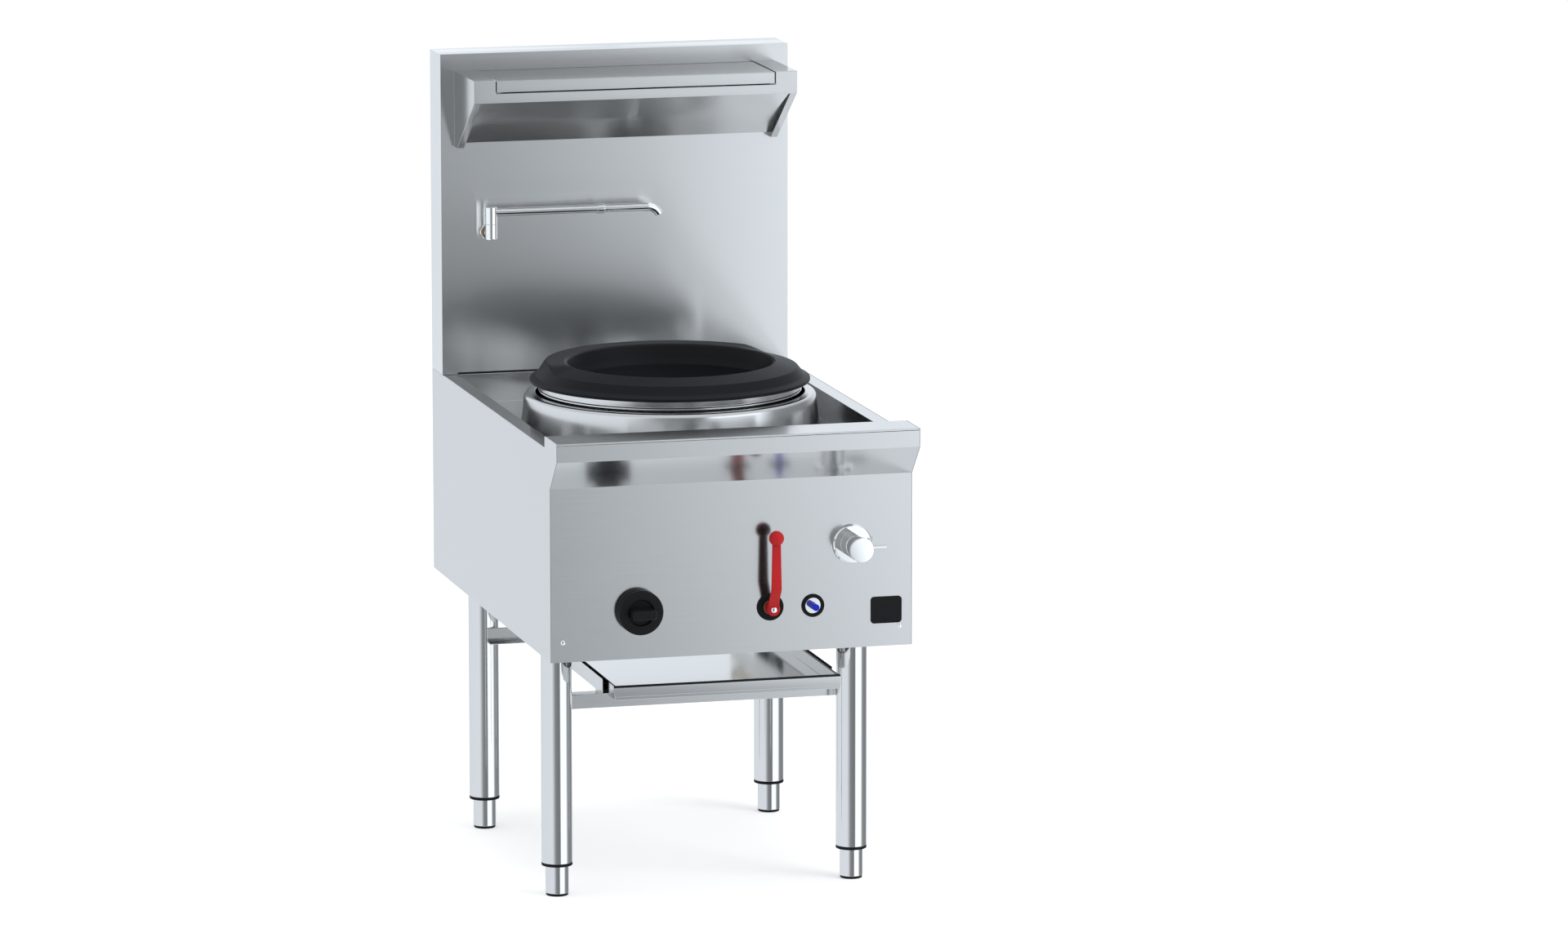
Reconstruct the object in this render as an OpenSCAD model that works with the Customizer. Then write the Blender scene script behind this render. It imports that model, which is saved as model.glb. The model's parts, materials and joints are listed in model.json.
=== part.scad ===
// Free-standing wok burner: a stainless cabinet on four legs with a sunken well, one chimney
// burner, a splash with a shelf, a swinging water spout and a slide-out drip tray.
// The floor is z = 0, the front faces -y and the burner stands on the z axis.
// The wok ring sets the chimney, and the chimney with the gaps round it sets the cabinet.

/* [Burner] */
// Diameter of the wok ring over its brim
wok_ring_d = 461; // [420:1:490]
// How far the brim stands out over the fire ring
brim_over = 16.5; // [14:0.5:20]
// Width of the wok ring's crown, from the brim's edge to the upper lip
crown_w = 58.5; // [50:0.5:64]
// How far the throat stands in from the upper lip
throat_in = 12; // [8:0.5:16]
// Thickness of the wok ring's brim
brim_t = 5; // [4:0.5:7]
// Height of the wok ring's lip above the fire ring
crown_h = 32; // [28:1:38]
// Height of the low outer edge above the fire ring
edge_h = 23; // [18:1:26]
// Sweep of the high outer edge
guard_sweep = 155; // [120:1:170]
// Direction of the middle of the high outer edge
guard_turn = 109.5; // [80:0.5:120]
// Gap between the fire ring and the chimney's mouth
mouth_gap = 7.5; // [6:0.5:10]
// Width of the chimney's shoulder beside its mouth
shoulder_w = 18; // [16:0.5:24]
// Radius of the chimney's shoulder
shoulder_r = 14; // [10:1:15]
// How far the chimney widens to its base
chimney_flare = 8; // [4:0.5:12]
// Height of the chimney above the well floor
chimney_h = 70; // [60:1:80]
// How far the fire ring stands up over the chimney
ring_rise = 18; // [15:1:22]
// Wall of the fire ring
fire_ring_t = 3; // [2:0.5:4]
// Depth of the fire ring's shroud below the well floor
shroud_h = 90; // [70:1:100]
// Diameter of the burner head
burner_d = 200; // [180:2:220]
// Depth of the burner head's top below the well floor
burner_drop = 35; // [30:1:45]
// Diameter of a burner jet
jet_d = 14; // [10:1:16]
// Height of a burner jet
jet_h = 14; // [10:1:18]
// Diameter of the mixing tube
mixing_tube_d = 44; // [38:1:50]
// Diameter of the gas inlet's thread
gas_inlet_d = 26.4; // [24:0.2:30]
// Length of the gas inlet behind the cabinet
inlet_out = 14; // [10:1:20]

/* [Cabinet] */
// Height of the cabinet's lower edge
base_z = 421; // [380:1:460]
// Height of the gap below the back panel
back_open = 105; // [90:1:120]
// Height of the cabinet up to the front landing
cab_h = 362; // [330:1:400]
// Gap between the chimney and the sides of the well
well_side_gap = 26; // [20:1:32]
// Gap between the chimney and the front of the well
well_front_gap = 122.5; // [105:0.5:140]
// Gap between the chimney and the splash
well_back_gap = 123.5; // [105:0.5:140]
// Width of the flat rims beside the well
rim_w = 26.5; // [22:0.5:30]
// Depth of the well below the rims
well_depth = 49; // [42:1:56]
// Depth of the front landing
landing_d = 80; // [70:1:90]
// Drop from the front landing to the side rims
landing_step = 19; // [14:1:24]
// Height of the upright fascia
fascia_h = 30; // [24:1:36]
// How far the fascia stands in front of the control panel
fascia_overhang = 47; // [40:1:54]
// Height of the sloped nose under the fascia
slope_h = 50; // [42:1:58]
// Thickness of the sheet steel
sheet_t = 1.5; // [1.2:0.1:2]
// Width of the folded edges
fold_w = 20; // [15:1:25]
// Height of the landing's turned-down front edge
landing_lip = 3; // [2.5:0.5:5]
// Gap left at a seam between two sheets
seam = 0.4; // [0.3:0.1:0.6]

/* [Splash and shelf] */
// Height of the splash above the rims
splash_h = 542; // [480:1:620]
// Depth of the hollow splash
splash_d = 79; // [70:1:90]
// Gap between the splash and the well's rear wall
splash_seam = 3; // [2:0.5:4]
// How far the shelf's cheeks stand in from the cabinet's sides
shelf_inset = 23.5; // [18:0.5:30]
// How far the shelf stands out from the splash
shelf_d = 149; // [130:1:170]
// Drop from the splash's top to the shelf's top
shelf_drop = 28; // [22:1:36]
// Height of the shelf's fascia
shelf_fascia_h = 38; // [34:1:44]
// Height of a cheek at the splash
cheek_h = 128; // [112:1:144]
// Width of a cheek's top
cheek_w = 37; // [32:1:42]
// Length of a cheek's lower edge beside the splash
cheek_foot = 20; // [16:1:26]
// Width of the cheek's sloped flange
cheek_flange = 12; // [9:1:15]
// How far the sloped underside stands in from the cheek's lower edge
underside_up = 4; // [3:0.5:6]
// Height of the lift-out tray's edges
shelf_tray_h = 19; // [16:0.5:22]
// How far the lift-out tray lies below the cheeks' tops
shelf_tray_drop = 1; // [0.5:0.1:2]
// Gap round the lift-out tray in its notch
shelf_tray_gap = 1.8; // [1.2:0.1:2.5]
// Gap between the lift-out tray and the splash
shelf_back_gap = 5; // [4:0.5:8]
// Width of the ledges that the lift-out tray rests on
shelf_ledge_w = 10; // [8:1:14]

/* [Controls] */
// Place of the gas knob from the cabinet's left side
knob_side = 146; // [130:1:160]
// Height of the gas knob above the cabinet's lower edge
knob_up = 77.5; // [70:0.5:86]
// Diameter of the gas knob
knob_d = 72.6; // [62:0.2:82]
// Travel of the gas knob when pushed
knob_travel = 4; // [3:0.5:5]
// Place of the valve lever from the cabinet's right side
lever_side = 237; // [215:1:255]
// Height of the valve lever's pivot above the cabinet's lower edge
lever_up = 73.5; // [66:0.5:82]
// Length of the valve lever from its pivot to its ball
lever_l = 119; // [102:1:136]
// Diameter of the lever's ball
lever_ball_d = 24.6; // [20:0.2:28]
// Place of the igniter from the cabinet's right side
piezo_side = 166; // [155:1:175]
// Height of the igniter above the cabinet's lower edge
piezo_up = 72.5; // [66:0.5:80]
// How far the igniter's button stands out
button_out = 22; // [18:1:26]
// Travel of the igniter's button
button_travel = 6; // [4:0.5:8]
// Place of the mixer tap from the cabinet's right side
mixer_side = 101; // [92:1:110]
// Height of the mixer tap above the cabinet's lower edge
mixer_up = 170.5; // [155:0.5:185]
// Diameter of the mixer's wall plate
mixer_plate_d = 64; // [56:1:72]
// Diameter of the mixer's handle
mixer_knob_d = 40; // [34:1:46]
// How far the mixer's handle stands out from the panel
mixer_out = 61; // [52:1:70]
// Place of the badge plate from the cabinet's right side
badge_side = 43.6; // [40:0.2:48]
// Height of the badge plate's middle above the cabinet's lower edge
badge_up = 59.5; // [58:0.5:68]

/* [Spout] */
// Place of the spout's upright body from the cabinet's left side
spout_side = 77.5; // [66:0.5:88]
// Height of the spout's wall stub above the rims
spout_rise = 241; // [205:1:250]
// Gap from the splash to the spout's axis
spout_out = 35; // [30:1:42]
// Diameter of the spout's upright body
spout_body_d = 19.5; // [17:0.5:22]
// Diameter of the spout's arm
spout_arm_d = 13.4; // [11.4:0.2:15.4]
// Height of the spout's arm above its wall stub
spout_arm_up = 37; // [34:1:42]
// Reach of the spout from its axis to its bend
spout_reach = 268; // [230:1:310]
// Radius of the spout's bend
spout_bend_r = 24; // [20:1:30]

/* [Stand] */
// Place of the legs from the cabinet's sides
leg_inset = 52; // [46:1:60]
// Place of the front legs behind the fascia
leg_front_inset = 226; // [200:1:250]
// Place of the rear legs in front of the back
leg_rear_inset = 148; // [130:1:170]
// Diameter of the legs
leg_d = 50.8; // [44:0.2:58]
// Wall of the legs
leg_t = 1.5; // [1.2:0.1:2]
// Height of the feet
foot_h = 50; // [45:1:60]
// Diameter of the feet
foot_d = 38.1; // [34:0.1:44]
// Travel of the screw feet
foot_travel = 25; // [15:1:30]
// Diameter of the foot's screw
foot_screw_d = 16; // [12:1:19]
// Height of the black foot tip
tip_h = 4; // [3:0.5:6]
// Drop from the cabinet's lower edge to the drip tray's upper edge
tray_drop = 49; // [42:1:56]
// Depth of the drip tray
tray_h = 24; // [20:1:28]
// Gap between the legs and the drip tray
tray_leg_gap = 36.6; // [32:0.2:42]
// Gap between the drip tray and its runners
tray_gap = 4.9; // [3:0.1:6]
// How far the drip tray's lip stands in front of the front legs
tray_front = 153; // [130:1:175]
// Height of the cross bars
bar_h = 24; // [20:1:28]

/* [Hidden] */
$fn = 96;

steel = "gainsboro";
polished = "silver";
black = "#26272b";
red = "#b8282b";
blue = "#2731c8";
brass = "#b08d3e";
iron = "#4a4a4c";

// Running clearance between pieces that move on each other, and slip clearance of fixed fits
run_gap = 0.3;
slip_gap = 0.1;

// Radii of the burner's rings, from the wok ring outwards
wok_ring_r = wok_ring_d / 2;
lip_r = wok_ring_r - crown_w;
throat_r = lip_r - throat_in;
brim_slope = 9.5;
notch_r = wok_ring_r - brim_slope;
notch_up = 4.5;
notch_h = brim_t + notch_up;
edge_in = 20;
edge_r = wok_ring_r - edge_in;
crest_in = 26.5;
crest_r = wok_ring_r - crest_in;
skirt_h = 10;
skirt_gap = 2;
throat_t = 8;
throat_drop = 28;
fire_ring_r = wok_ring_r - brim_over;
shroud_in = 11;
shroud_r = fire_ring_r - shroud_in;
bead_out = 2.5;
bead_h = 3;
bead_up = 2;
chimney_mouth_r = fire_ring_r + mouth_gap;
chimney_r = chimney_mouth_r + shoulder_w;
chimney_base_r = chimney_r + chimney_flare;
chimney_lip = 8;

// Main planes of the cabinet
half_w = chimney_base_r + well_side_gap + rim_w;
inner_w = half_w - sheet_t;
well_half_w = half_w - rim_w;
landing_y = -chimney_base_r - well_front_gap;
front_y = landing_y - landing_d;
splash_y = chimney_base_r + well_back_gap;
back_y = splash_y + splash_d;
panel_y = front_y + fascia_overhang;
panel_back_y = panel_y + sheet_t;
landing_z = base_z + cab_h;
rim_z = landing_z - landing_step;
floor_z = rim_z - well_depth;
fascia_z = landing_z - fascia_h;
slope_z = fascia_z - slope_h;
seat_z = floor_z + chimney_h + ring_rise;
bead_z = floor_z + chimney_h + bead_up;

// Splash and shelf
splash_z = rim_z + splash_h;
shelf_top = splash_z - shelf_drop;
shelf_front = splash_y - shelf_d;
shelf_half = half_w - shelf_inset;
shelf_in = shelf_half - cheek_w;
shelf_tray_half = shelf_in - shelf_tray_gap;
shelf_tray_top = shelf_top - shelf_tray_drop;
shelf_ledge_z = shelf_tray_top - shelf_tray_h;
cheek_low = shelf_top - cheek_h;
shelf_low = shelf_top - shelf_fascia_h;
underside_low = cheek_low + underside_up;
underside_run = shelf_d - sheet_t;
underside_lift = sheet_t * norm([underside_run, shelf_low - underside_low]) / underside_run;

// Places of the controls
knob_x = knob_side - half_w;
knob_z = base_z + knob_up;
lever_x = half_w - lever_side;
lever_z = base_z + lever_up;
piezo_x = half_w - piezo_side;
piezo_z = base_z + piezo_up;
mixer_x = half_w - mixer_side;
mixer_z = base_z + mixer_up;
badge_z = base_z + badge_up;

// Gas train: the ports of both valves and the pipes lie on one line behind the panel
port_back = 63;
port_y = panel_y + port_back;
port_z = lever_z;
link_r = 10.6;
supply_side = 65;
supply_x = half_w - supply_side;
ball_valve_l = 52;
ball_valve_r = 20;
bonnet_r = 14;
neck_r = 11.5;
neck_out = 4;
stem_r = 6;
stem_short = 12;
stem_inner_y = port_y - stem_short;
valve_w = 50;
valve_tail = 15;
valve_back_y = port_y + valve_tail;
spindle_r = 5;
feed_back = 35;
feed_y = valve_back_y + feed_back;
feed_l = 28;
injector_y = feed_y + feed_l;
injector_l = 24;
injector_nose = 6;
injector_tip_r = 3;
mouth_y = injector_y + injector_l;
plunger_r = 4;
plunger_l = 16;
plunger_y = port_y - stem_short;
plunger_end = plunger_y + plunger_l + knob_travel + 2 * run_gap;

// Burner head, mixing tube and pilot
head_top = floor_z - burner_drop;
head_disc_h = 12;
head_cone_h = 28;
head_neck_r = 34;
head_over = 35.5;
head_low = port_z + head_over;
head_neck_h = head_top - head_disc_h - head_cone_h - head_low;
head_roof = 2;
jet_rings = [[1, 0], [6, 0.38], [12, 0.76]];
bracket_t = 4;
bracket_w = 50;
bracket_short = 5;
mouth_flare = 6;
mouth_r = mixing_tube_d / 2 + mouth_flare;
mouth_l = 30;
tube_wall = 4;
tube_collar = 3;
pilot_out = 10;
pilot_y = -burner_d / 2 - pilot_out;
pilot_bracket_h = 6;
pilot_bracket_w = 8;
pilot_bracket_z = head_top - head_disc_h;
pilot_edge = 7;
pilot_pitch = 14;
pilot_r = 5;
pilot_wall = 2;
pilot_drop = 60;
probe_r = 2.5;
electrode_r = 3;
pilot_tube_r = 3;
lead_r = 1.5;
lead_drop = 30;
lead_step = 20;
pilot_tube_side = 16;
pilot_tube_up = 8;
probe_side = 14;
probe_up = 14;

// Gas knob
knob_base_t = 6;
knob_t = 7.7;
knob_back = knob_base_t + knob_travel + run_gap;
knob_face = knob_back + knob_t;
knob_recess_d = 42;
knob_recess = 5;
knob_floor = 2;
grip_l = 40;
grip_w = 16;
grip_h = 25;
grip_r = 5;
grip_out = knob_face + grip_h;

// Valve lever
grommet_d = 44;
grommet_t = 3;
lever_t = 3.5;
boss_r = 11;
boss_back = 5;
eye_r = 9.7;
eye_back = 21.5;
arm_out = 38.5;
arm_low = 36;
arm_w_low = 17;
arm_w_top = 13.5;
arm_step = 1;
screw_r = 5;
screw_h = 4;

// Igniter
piezo_ring_d = 37.6;
piezo_ring_t = 3;
piezo_bezel_d = 25.4;
piezo_bezel_t = 1.2;
piezo_body_d = 20;
piezo_l = 45;
piezo_lead_in = 10;
button_d = 11;
button_in = 15;

// Mixer
mixer_plate_t = 6;
mixer_plate_edge = 2;
mixer_body_w = 62;
mixer_body_l = 56;
mixer_spindle_r = 10;
mixer_spindle_l = 18;
mixer_pin_r = 3;
mixer_pin_reach = 46;
mixer_pin_out = 40;
mixer_back_y = panel_back_y + mixer_body_l;
water_inlet_r = 10.5;
inlet_pitch = 36;
inlet_drop = 21.5;
inlet_z = mixer_z - inlet_drop;
water_pipe_r = 7.5;
water_side = 50;
water_x = half_w - water_side;
water_step = 30;
water_y = splash_y + splash_d / 2;

// Panel trim
badge_w = 52;
badge_h = 44;
badge_r = 6;
badge_t = 1.2;
screw_head_d = 8;
screw_head_h = 2.2;
screw_shank_r = 2;
screw_l = 8;
panel_screw_side = 21;
panel_screw_up = 32.4;
panel_screw_x = half_w - panel_screw_side;

// Spout
spout_x = spout_side - half_w;
spout_y = splash_y - spout_out;
spout_z = rim_z + spout_rise;
spout_stub_r = 8;
spout_stub_in = 14;
spout_down = 9;
spout_low = spout_z - spout_down;
spout_edge = 2;
spout_split_up = 17;
spout_split = spout_z + spout_split_up;
spout_arm_z = spout_z + spout_arm_up;
spout_cap = 9;
spout_top = spout_arm_z + spout_cap;
spout_pin_r = 5.5;
spout_pin_h = 18;
nut_d = 27;
nut_h = 6;
collar_d = 17;
collar_l = 13;
collar_back = 80;
outlet_angle = 62;
bend_swell = 0.3;

// Stand
leg_x = half_w - leg_inset;
leg_front_y = front_y + leg_front_inset;
leg_rear_y = back_y - leg_rear_inset;
leg_r = leg_d / 2;
bush_t = 5;
bush_h = 30;
leg_low = foot_h + bush_t;
rail_h = 40;
rail_up = 2;
rail_z = base_z + rail_up;
rail_gap = 4;
rail_in = leg_x - leg_r - rail_gap;
leg_top = rail_z + rail_h - sheet_t;
foot_screw_l = bush_t + bush_h + foot_travel;
tip_edge = 1;
leg_places = [
    [-leg_x, leg_front_y], [leg_x, leg_front_y], [-leg_x, leg_rear_y], [leg_x, leg_rear_y]
];
bar_t = 2;
bar_flange = 25;
tray_z = base_z - tray_drop;
tray_half = leg_x - leg_r - tray_leg_gap;
runner_low = tray_z - tray_h - sheet_t;
front_bar_y = leg_front_y + leg_r + slip_gap;
lug_h = 22;
lug_w = 18;
front_bar_top = runner_low - lug_h;
rear_bar_y = leg_rear_y - leg_r - slip_gap;
runner_out = tray_half + tray_gap + sheet_t;
runner_ledge = 40;
runner_over = 86;
runner_front = leg_front_y - runner_over;
tray_front_y = leg_front_y - tray_front;
tray_lip_h = 18;
tray_lip_over = 5;
tray_lip_side = 2;
tray_back_gap = 8;
tray_back_y = rear_bar_y - tray_back_gap;

// Box between two opposite corners
module box(low, high) {
    translate(low) cube(high - low);
}

// Outline in y and z, drawn out along x from one side to the other
module along_x(from_x, to_x) {
    translate([from_x, 0, 0]) rotate([90, 0, 90]) linear_extrude(to_x - from_x) children();
}

// Cylinder along y from one plane to another
module along_y(from_y, to_y, radius) {
    translate([0, from_y, 0]) rotate([-90, 0, 0]) cylinder(h = to_y - from_y, r = radius);
}

// Round bar from one point to the next along one axis
module bar_between(a, b, radius) {
    d = b - a;
    turn = d.x != 0 ? [0, sign(d.x) * 90, 0]
        : d.y != 0 ? [-sign(d.y) * 90, 0, 0]
        : [d.z > 0 ? 0 : 180, 0, 0];
    translate(a) rotate(turn) cylinder(h = norm(d), r = radius, $fn = 32);
}

// Pipe through square corners, rounded at each corner
module pipe(points, radius) {
    for (i = [0 : len(points) - 2]) bar_between(points[i], points[i + 1], radius);
    for (i = [1 : len(points) - 2]) translate(points[i]) sphere(r = radius, $fn = 32);
}

// Side panel: one flat sheet with the profile of the whole cabinet
module side_panel(from_x) {
    color(steel) along_x(from_x, from_x + sheet_t) polygon([
        [panel_y, base_z], [back_y, base_z], [back_y, rim_z], [landing_y, rim_z],
        [landing_y, landing_z], [front_y, landing_z], [front_y, fascia_z], [panel_y, slope_z]
    ]);
}

module side_panel_left() {
    side_panel(-half_w);
}

module side_panel_right() {
    side_panel(inner_w);
}

// Control panel, sloped nose and fascia folded from one sheet
module front_panel() {
    bend = atan2(fascia_overhang, slope_h);
    mitre = sheet_t * tan(bend / 2);
    fascia_top = landing_z - landing_lip - seam;
    color(steel) difference() {
        union() {
            along_x(-inner_w, inner_w) polygon([
                [panel_y, base_z], [panel_y, slope_z], [front_y, fascia_z], [front_y, fascia_top],
                [front_y + sheet_t, fascia_top], [front_y + sheet_t, fascia_z + mitre],
                [panel_back_y, slope_z + mitre], [panel_back_y, base_z]
            ]);
            box([-inner_w, panel_y, base_z], [inner_w, panel_y + fold_w, base_z + sheet_t]);
        }
        panel_hole(knob_x, knob_z, spindle_r + 2);
        panel_hole(lever_x, lever_z, neck_r + 1);
        panel_hole(piezo_x, piezo_z, piezo_body_d / 2 + slip_gap);
        panel_hole(mixer_x, mixer_z, mixer_spindle_r + run_gap);
        for (side = [-1, 1])
            panel_hole(side * panel_screw_x, base_z + panel_screw_up, screw_shank_r + slip_gap);
    }
}

module panel_hole(x, z, radius) {
    translate([x, 0, z]) along_y(panel_y - 1, panel_back_y + 1, radius);
}

// Landing, rims, well walls and well floor pressed from one sheet
module well_deck() {
    wall_low = floor_z - sheet_t;
    wall_x = well_half_w + sheet_t;
    wall_front = landing_y - sheet_t;
    wall_rear = splash_y + sheet_t;
    color(steel) difference() {
        union() {
            box([-inner_w, front_y, landing_z - sheet_t], [inner_w, landing_y, landing_z]);
            box([-inner_w, front_y, landing_z - landing_lip], [inner_w, front_y + sheet_t, landing_z]);
            box([-inner_w, wall_front, rim_z - sheet_t], [inner_w, landing_y, landing_z]);
            box([-wall_x, wall_front, wall_low], [wall_x, landing_y, rim_z]);
            box([-wall_x, splash_y, wall_low], [wall_x, wall_rear, rim_z]);
            box([-wall_x, wall_front, wall_low], [wall_x, wall_rear, floor_z]);
            for (side = [0, 1]) mirror([side, 0, 0]) {
                box([well_half_w, wall_front, wall_low], [wall_x, wall_rear, rim_z]);
                box([well_half_w, wall_front, rim_z - sheet_t], [inner_w, wall_rear, rim_z]);
            }
        }
        translate([0, 0, wall_low - 1]) cylinder(h = sheet_t + 2, r = shroud_r + slip_gap);
    }
}

// Back of the cabinet and of the splash, open below for the gas supply
module back_panel() {
    color(steel) difference() {
        box([-inner_w, back_y - sheet_t, base_z + back_open], [inner_w, back_y, splash_z - sheet_t]);
        for (side = [-1, 1])
            back_hole(mixer_x + side * inlet_pitch / 2, inlet_z, water_pipe_r);
    }
}

module back_hole(x, z, radius) {
    translate([x, 0, z]) along_y(back_y - 2 * sheet_t, back_y + 1, radius + slip_gap);
}

// Front, top and sides of the hollow splash
module splash_front() {
    low = rim_z + seam;
    color(steel) difference() {
        union() {
            box([-half_w, splash_y, low], [half_w, splash_y + sheet_t, splash_z]);
            box([-half_w, splash_y, splash_z - sheet_t], [half_w, back_y, splash_z]);
            for (side = [0, 1]) mirror([side, 0, 0])
                box([inner_w, splash_y, low], [half_w, back_y, splash_z]);
        }
        box([-well_half_w, splash_y - 1, low - 1], [well_half_w, splash_y + 2 * sheet_t, low + splash_seam]);
        translate([spout_x, 0, spout_z])
            along_y(splash_y - 1, splash_y + 2 * sheet_t, spout_stub_r + slip_gap);
    }
}

// Channels under the cabinet that take the tops of the legs
module leg_rails() {
    front = panel_back_y;
    rear = back_y - sheet_t;
    top = rail_z + rail_h;
    color(steel) for (side = [0, 1]) mirror([side, 0, 0]) {
        box([rail_in, front, top - sheet_t], [inner_w, rear, top]);
        box([rail_in, front, rail_z], [rail_in + sheet_t, rear, top]);
        box([inner_w - sheet_t, front, rail_z], [inner_w, rear, top]);
    }
}

// Shelf cheek: a folded side with a top, an inner wall with a ledge, and a sloped flange with a return
module shelf_cheek() {
    profile = [
        [splash_y, shelf_top], [shelf_front + sheet_t, shelf_top], [shelf_front + sheet_t, shelf_low],
        [splash_y - cheek_foot, cheek_low], [splash_y, cheek_low]
    ];
    slope_y = splash_y - cheek_foot - shelf_front - sheet_t;
    slope_z_drop = shelf_low - cheek_low;
    slope_l = norm([slope_y, slope_z_drop]);
    front = shelf_front + sheet_t;
    color(steel) {
        along_x(shelf_half - sheet_t, shelf_half) polygon(profile);
        box([shelf_in, front, shelf_top - sheet_t], [shelf_half, splash_y, shelf_top]);
        box([shelf_in, front, shelf_ledge_z - sheet_t], [shelf_in + sheet_t, splash_y, shelf_top]);
        box(
            [shelf_in - shelf_ledge_w, front, shelf_ledge_z - sheet_t],
            [shelf_in + sheet_t, splash_y, shelf_ledge_z]
        );
        along_x(shelf_half - cheek_flange, shelf_half) polygon([
            [front, shelf_low], [splash_y - cheek_foot, cheek_low],
            [splash_y - cheek_foot + sheet_t * slope_l / slope_z_drop, cheek_low],
            [front + sheet_t * slope_l / slope_z_drop, shelf_low]
        ]);
        along_x(shelf_half - cheek_flange, shelf_half - cheek_flange + sheet_t) polygon([
            [front, shelf_low], [splash_y - cheek_foot, cheek_low], [splash_y, cheek_low],
            [splash_y, underside_low + underside_lift - slip_gap],
            [front, shelf_low + underside_lift - slip_gap]
        ]);
    }
}

module shelf_cheek_left() {
    mirror([1, 0, 0]) shelf_cheek();
}

module shelf_cheek_right() {
    shelf_cheek();
}

// Shelf fascia with the notch that takes the lift-out tray's lip
module shelf_fascia() {
    color(steel) difference() {
        box([-shelf_half, shelf_front, shelf_low], [shelf_half, shelf_front + sheet_t, shelf_top]);
        box(
            [-shelf_in, shelf_front - 1, shelf_ledge_z - shelf_tray_gap],
            [shelf_in, shelf_front + 2 * sheet_t, shelf_top + 1]
        );
    }
}

// Sloped sheet that closes the shelf from below, between the cheeks
module shelf_underside() {
    front = shelf_front + sheet_t;
    reach = shelf_half - sheet_t - slip_gap;
    rise = underside_lift;
    color(steel) along_x(-reach, reach) polygon([
        [front, shelf_low + rise], [front, shelf_low + 2 * rise],
        [splash_y, underside_low + 2 * rise], [splash_y, underside_low + rise]
    ]);
}

// Lift-out shelf tray: a flat top with turned-down edges
module shelf_tray() {
    rear = splash_y - shelf_back_gap;
    color(steel) difference() {
        box([-shelf_tray_half, shelf_front, shelf_ledge_z], [shelf_tray_half, rear, shelf_tray_top]);
        box(
            [-shelf_tray_half + sheet_t, shelf_front + sheet_t, shelf_ledge_z - 1],
            [shelf_tray_half - sheet_t, rear - sheet_t, shelf_tray_top - sheet_t]
        );
    }
}

// Quarter arc of points, from the given angle up to the next quarter
function quarter(centre, radius, steps) = [
    for (i = [0 : steps]) centre + radius * [cos(90 * i / steps), sin(90 * i / steps)]
];
function reversed(list) = [for (i = [len(list) - 1 : -1 : 0]) list[i]];

// Chimney: slightly conical drum with a round shoulder and an open mouth
module chimney() {
    top = floor_z + chimney_h;
    centre = [chimney_r - shoulder_r, top - shoulder_r];
    outer = quarter(centre, shoulder_r, 6);
    inner = reversed(quarter(centre, shoulder_r - sheet_t, 6));
    mouth = chimney_mouth_r;
    color(polished) rotate_extrude() polygon(concat(
        [[chimney_base_r, floor_z]], outer,
        [
            [mouth, top], [mouth, top - chimney_lip],
            [mouth + sheet_t, top - chimney_lip], [mouth + sheet_t, top - sheet_t]
        ],
        inner, [[chimney_base_r - sheet_t, floor_z]]
    ));
}

// Fire ring: the wok ring's seat, with a bead, a flange on the well floor and a shroud below it
module fire_ring() {
    r = fire_ring_r;
    bore = r - fire_ring_t;
    bead_r = r + bead_out;
    shroud = shroud_r - fire_ring_t;
    color(polished) rotate_extrude() polygon([
        [r, floor_z], [r, bead_z - 1], [bead_r, bead_z], [bead_r, bead_z + bead_h],
        [r, bead_z + bead_h + 1], [r, seat_z], [bore, seat_z], [bore, floor_z + fire_ring_t],
        [shroud, floor_z + fire_ring_t], [shroud, floor_z - shroud_h],
        [shroud_r, floor_z - shroud_h], [shroud_r, floor_z]
    ]);
}

// Cast wok ring with a tapered throat, a flat brim, a sloped crown and a raised outer edge round its rear
module wok_ring() {
    skirt_r = fire_ring_r - fire_ring_t - skirt_gap;
    top = seat_z + crown_h;
    notch_z = seat_z + notch_h;
    edge_z = seat_z + edge_h;
    round_edge = 2;
    color(black) union() {
        rotate_extrude() polygon([
            [throat_r, seat_z - throat_drop], [throat_r + throat_t, seat_z - throat_drop],
            [skirt_r, seat_z - skirt_h], [skirt_r, seat_z],
            [wok_ring_r, seat_z], [wok_ring_r, seat_z + brim_t - 1],
            [wok_ring_r - 1, seat_z + brim_t], [notch_r + 1, notch_z - 1], [notch_r, notch_z],
            [edge_r, edge_z - round_edge], [edge_r - round_edge, edge_z],
            [lip_r + round_edge, top], [lip_r, top], [lip_r - 1, top - 1], [throat_r, seat_z]
        ]);
        rotate([0, 0, guard_turn - guard_sweep / 2]) rotate_extrude(angle = guard_sweep) polygon([
            [lip_r + round_edge, notch_z], [notch_r, notch_z], [crest_r + round_edge, top - round_edge],
            [crest_r, top + 1], [lip_r + round_edge, top]
        ]);
    }
}

// Burner head: a neck, a cone and a flat head for the jets
module burner_head() {
    r = burner_d / 2;
    cone_low = head_top - head_disc_h - head_cone_h;
    color(iron) difference() {
        union() {
            translate([0, 0, head_low]) cylinder(h = head_neck_h, r = head_neck_r);
            translate([0, 0, cone_low]) cylinder(h = head_cone_h, r1 = head_neck_r, r2 = r);
            translate([0, 0, head_top - head_disc_h]) cylinder(h = head_disc_h, r = r);
        }
        translate([0, 0, head_low - 1])
            cylinder(h = head_neck_h - head_roof + 1, r = mixing_tube_d / 2 + slip_gap);
    }
}

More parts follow.
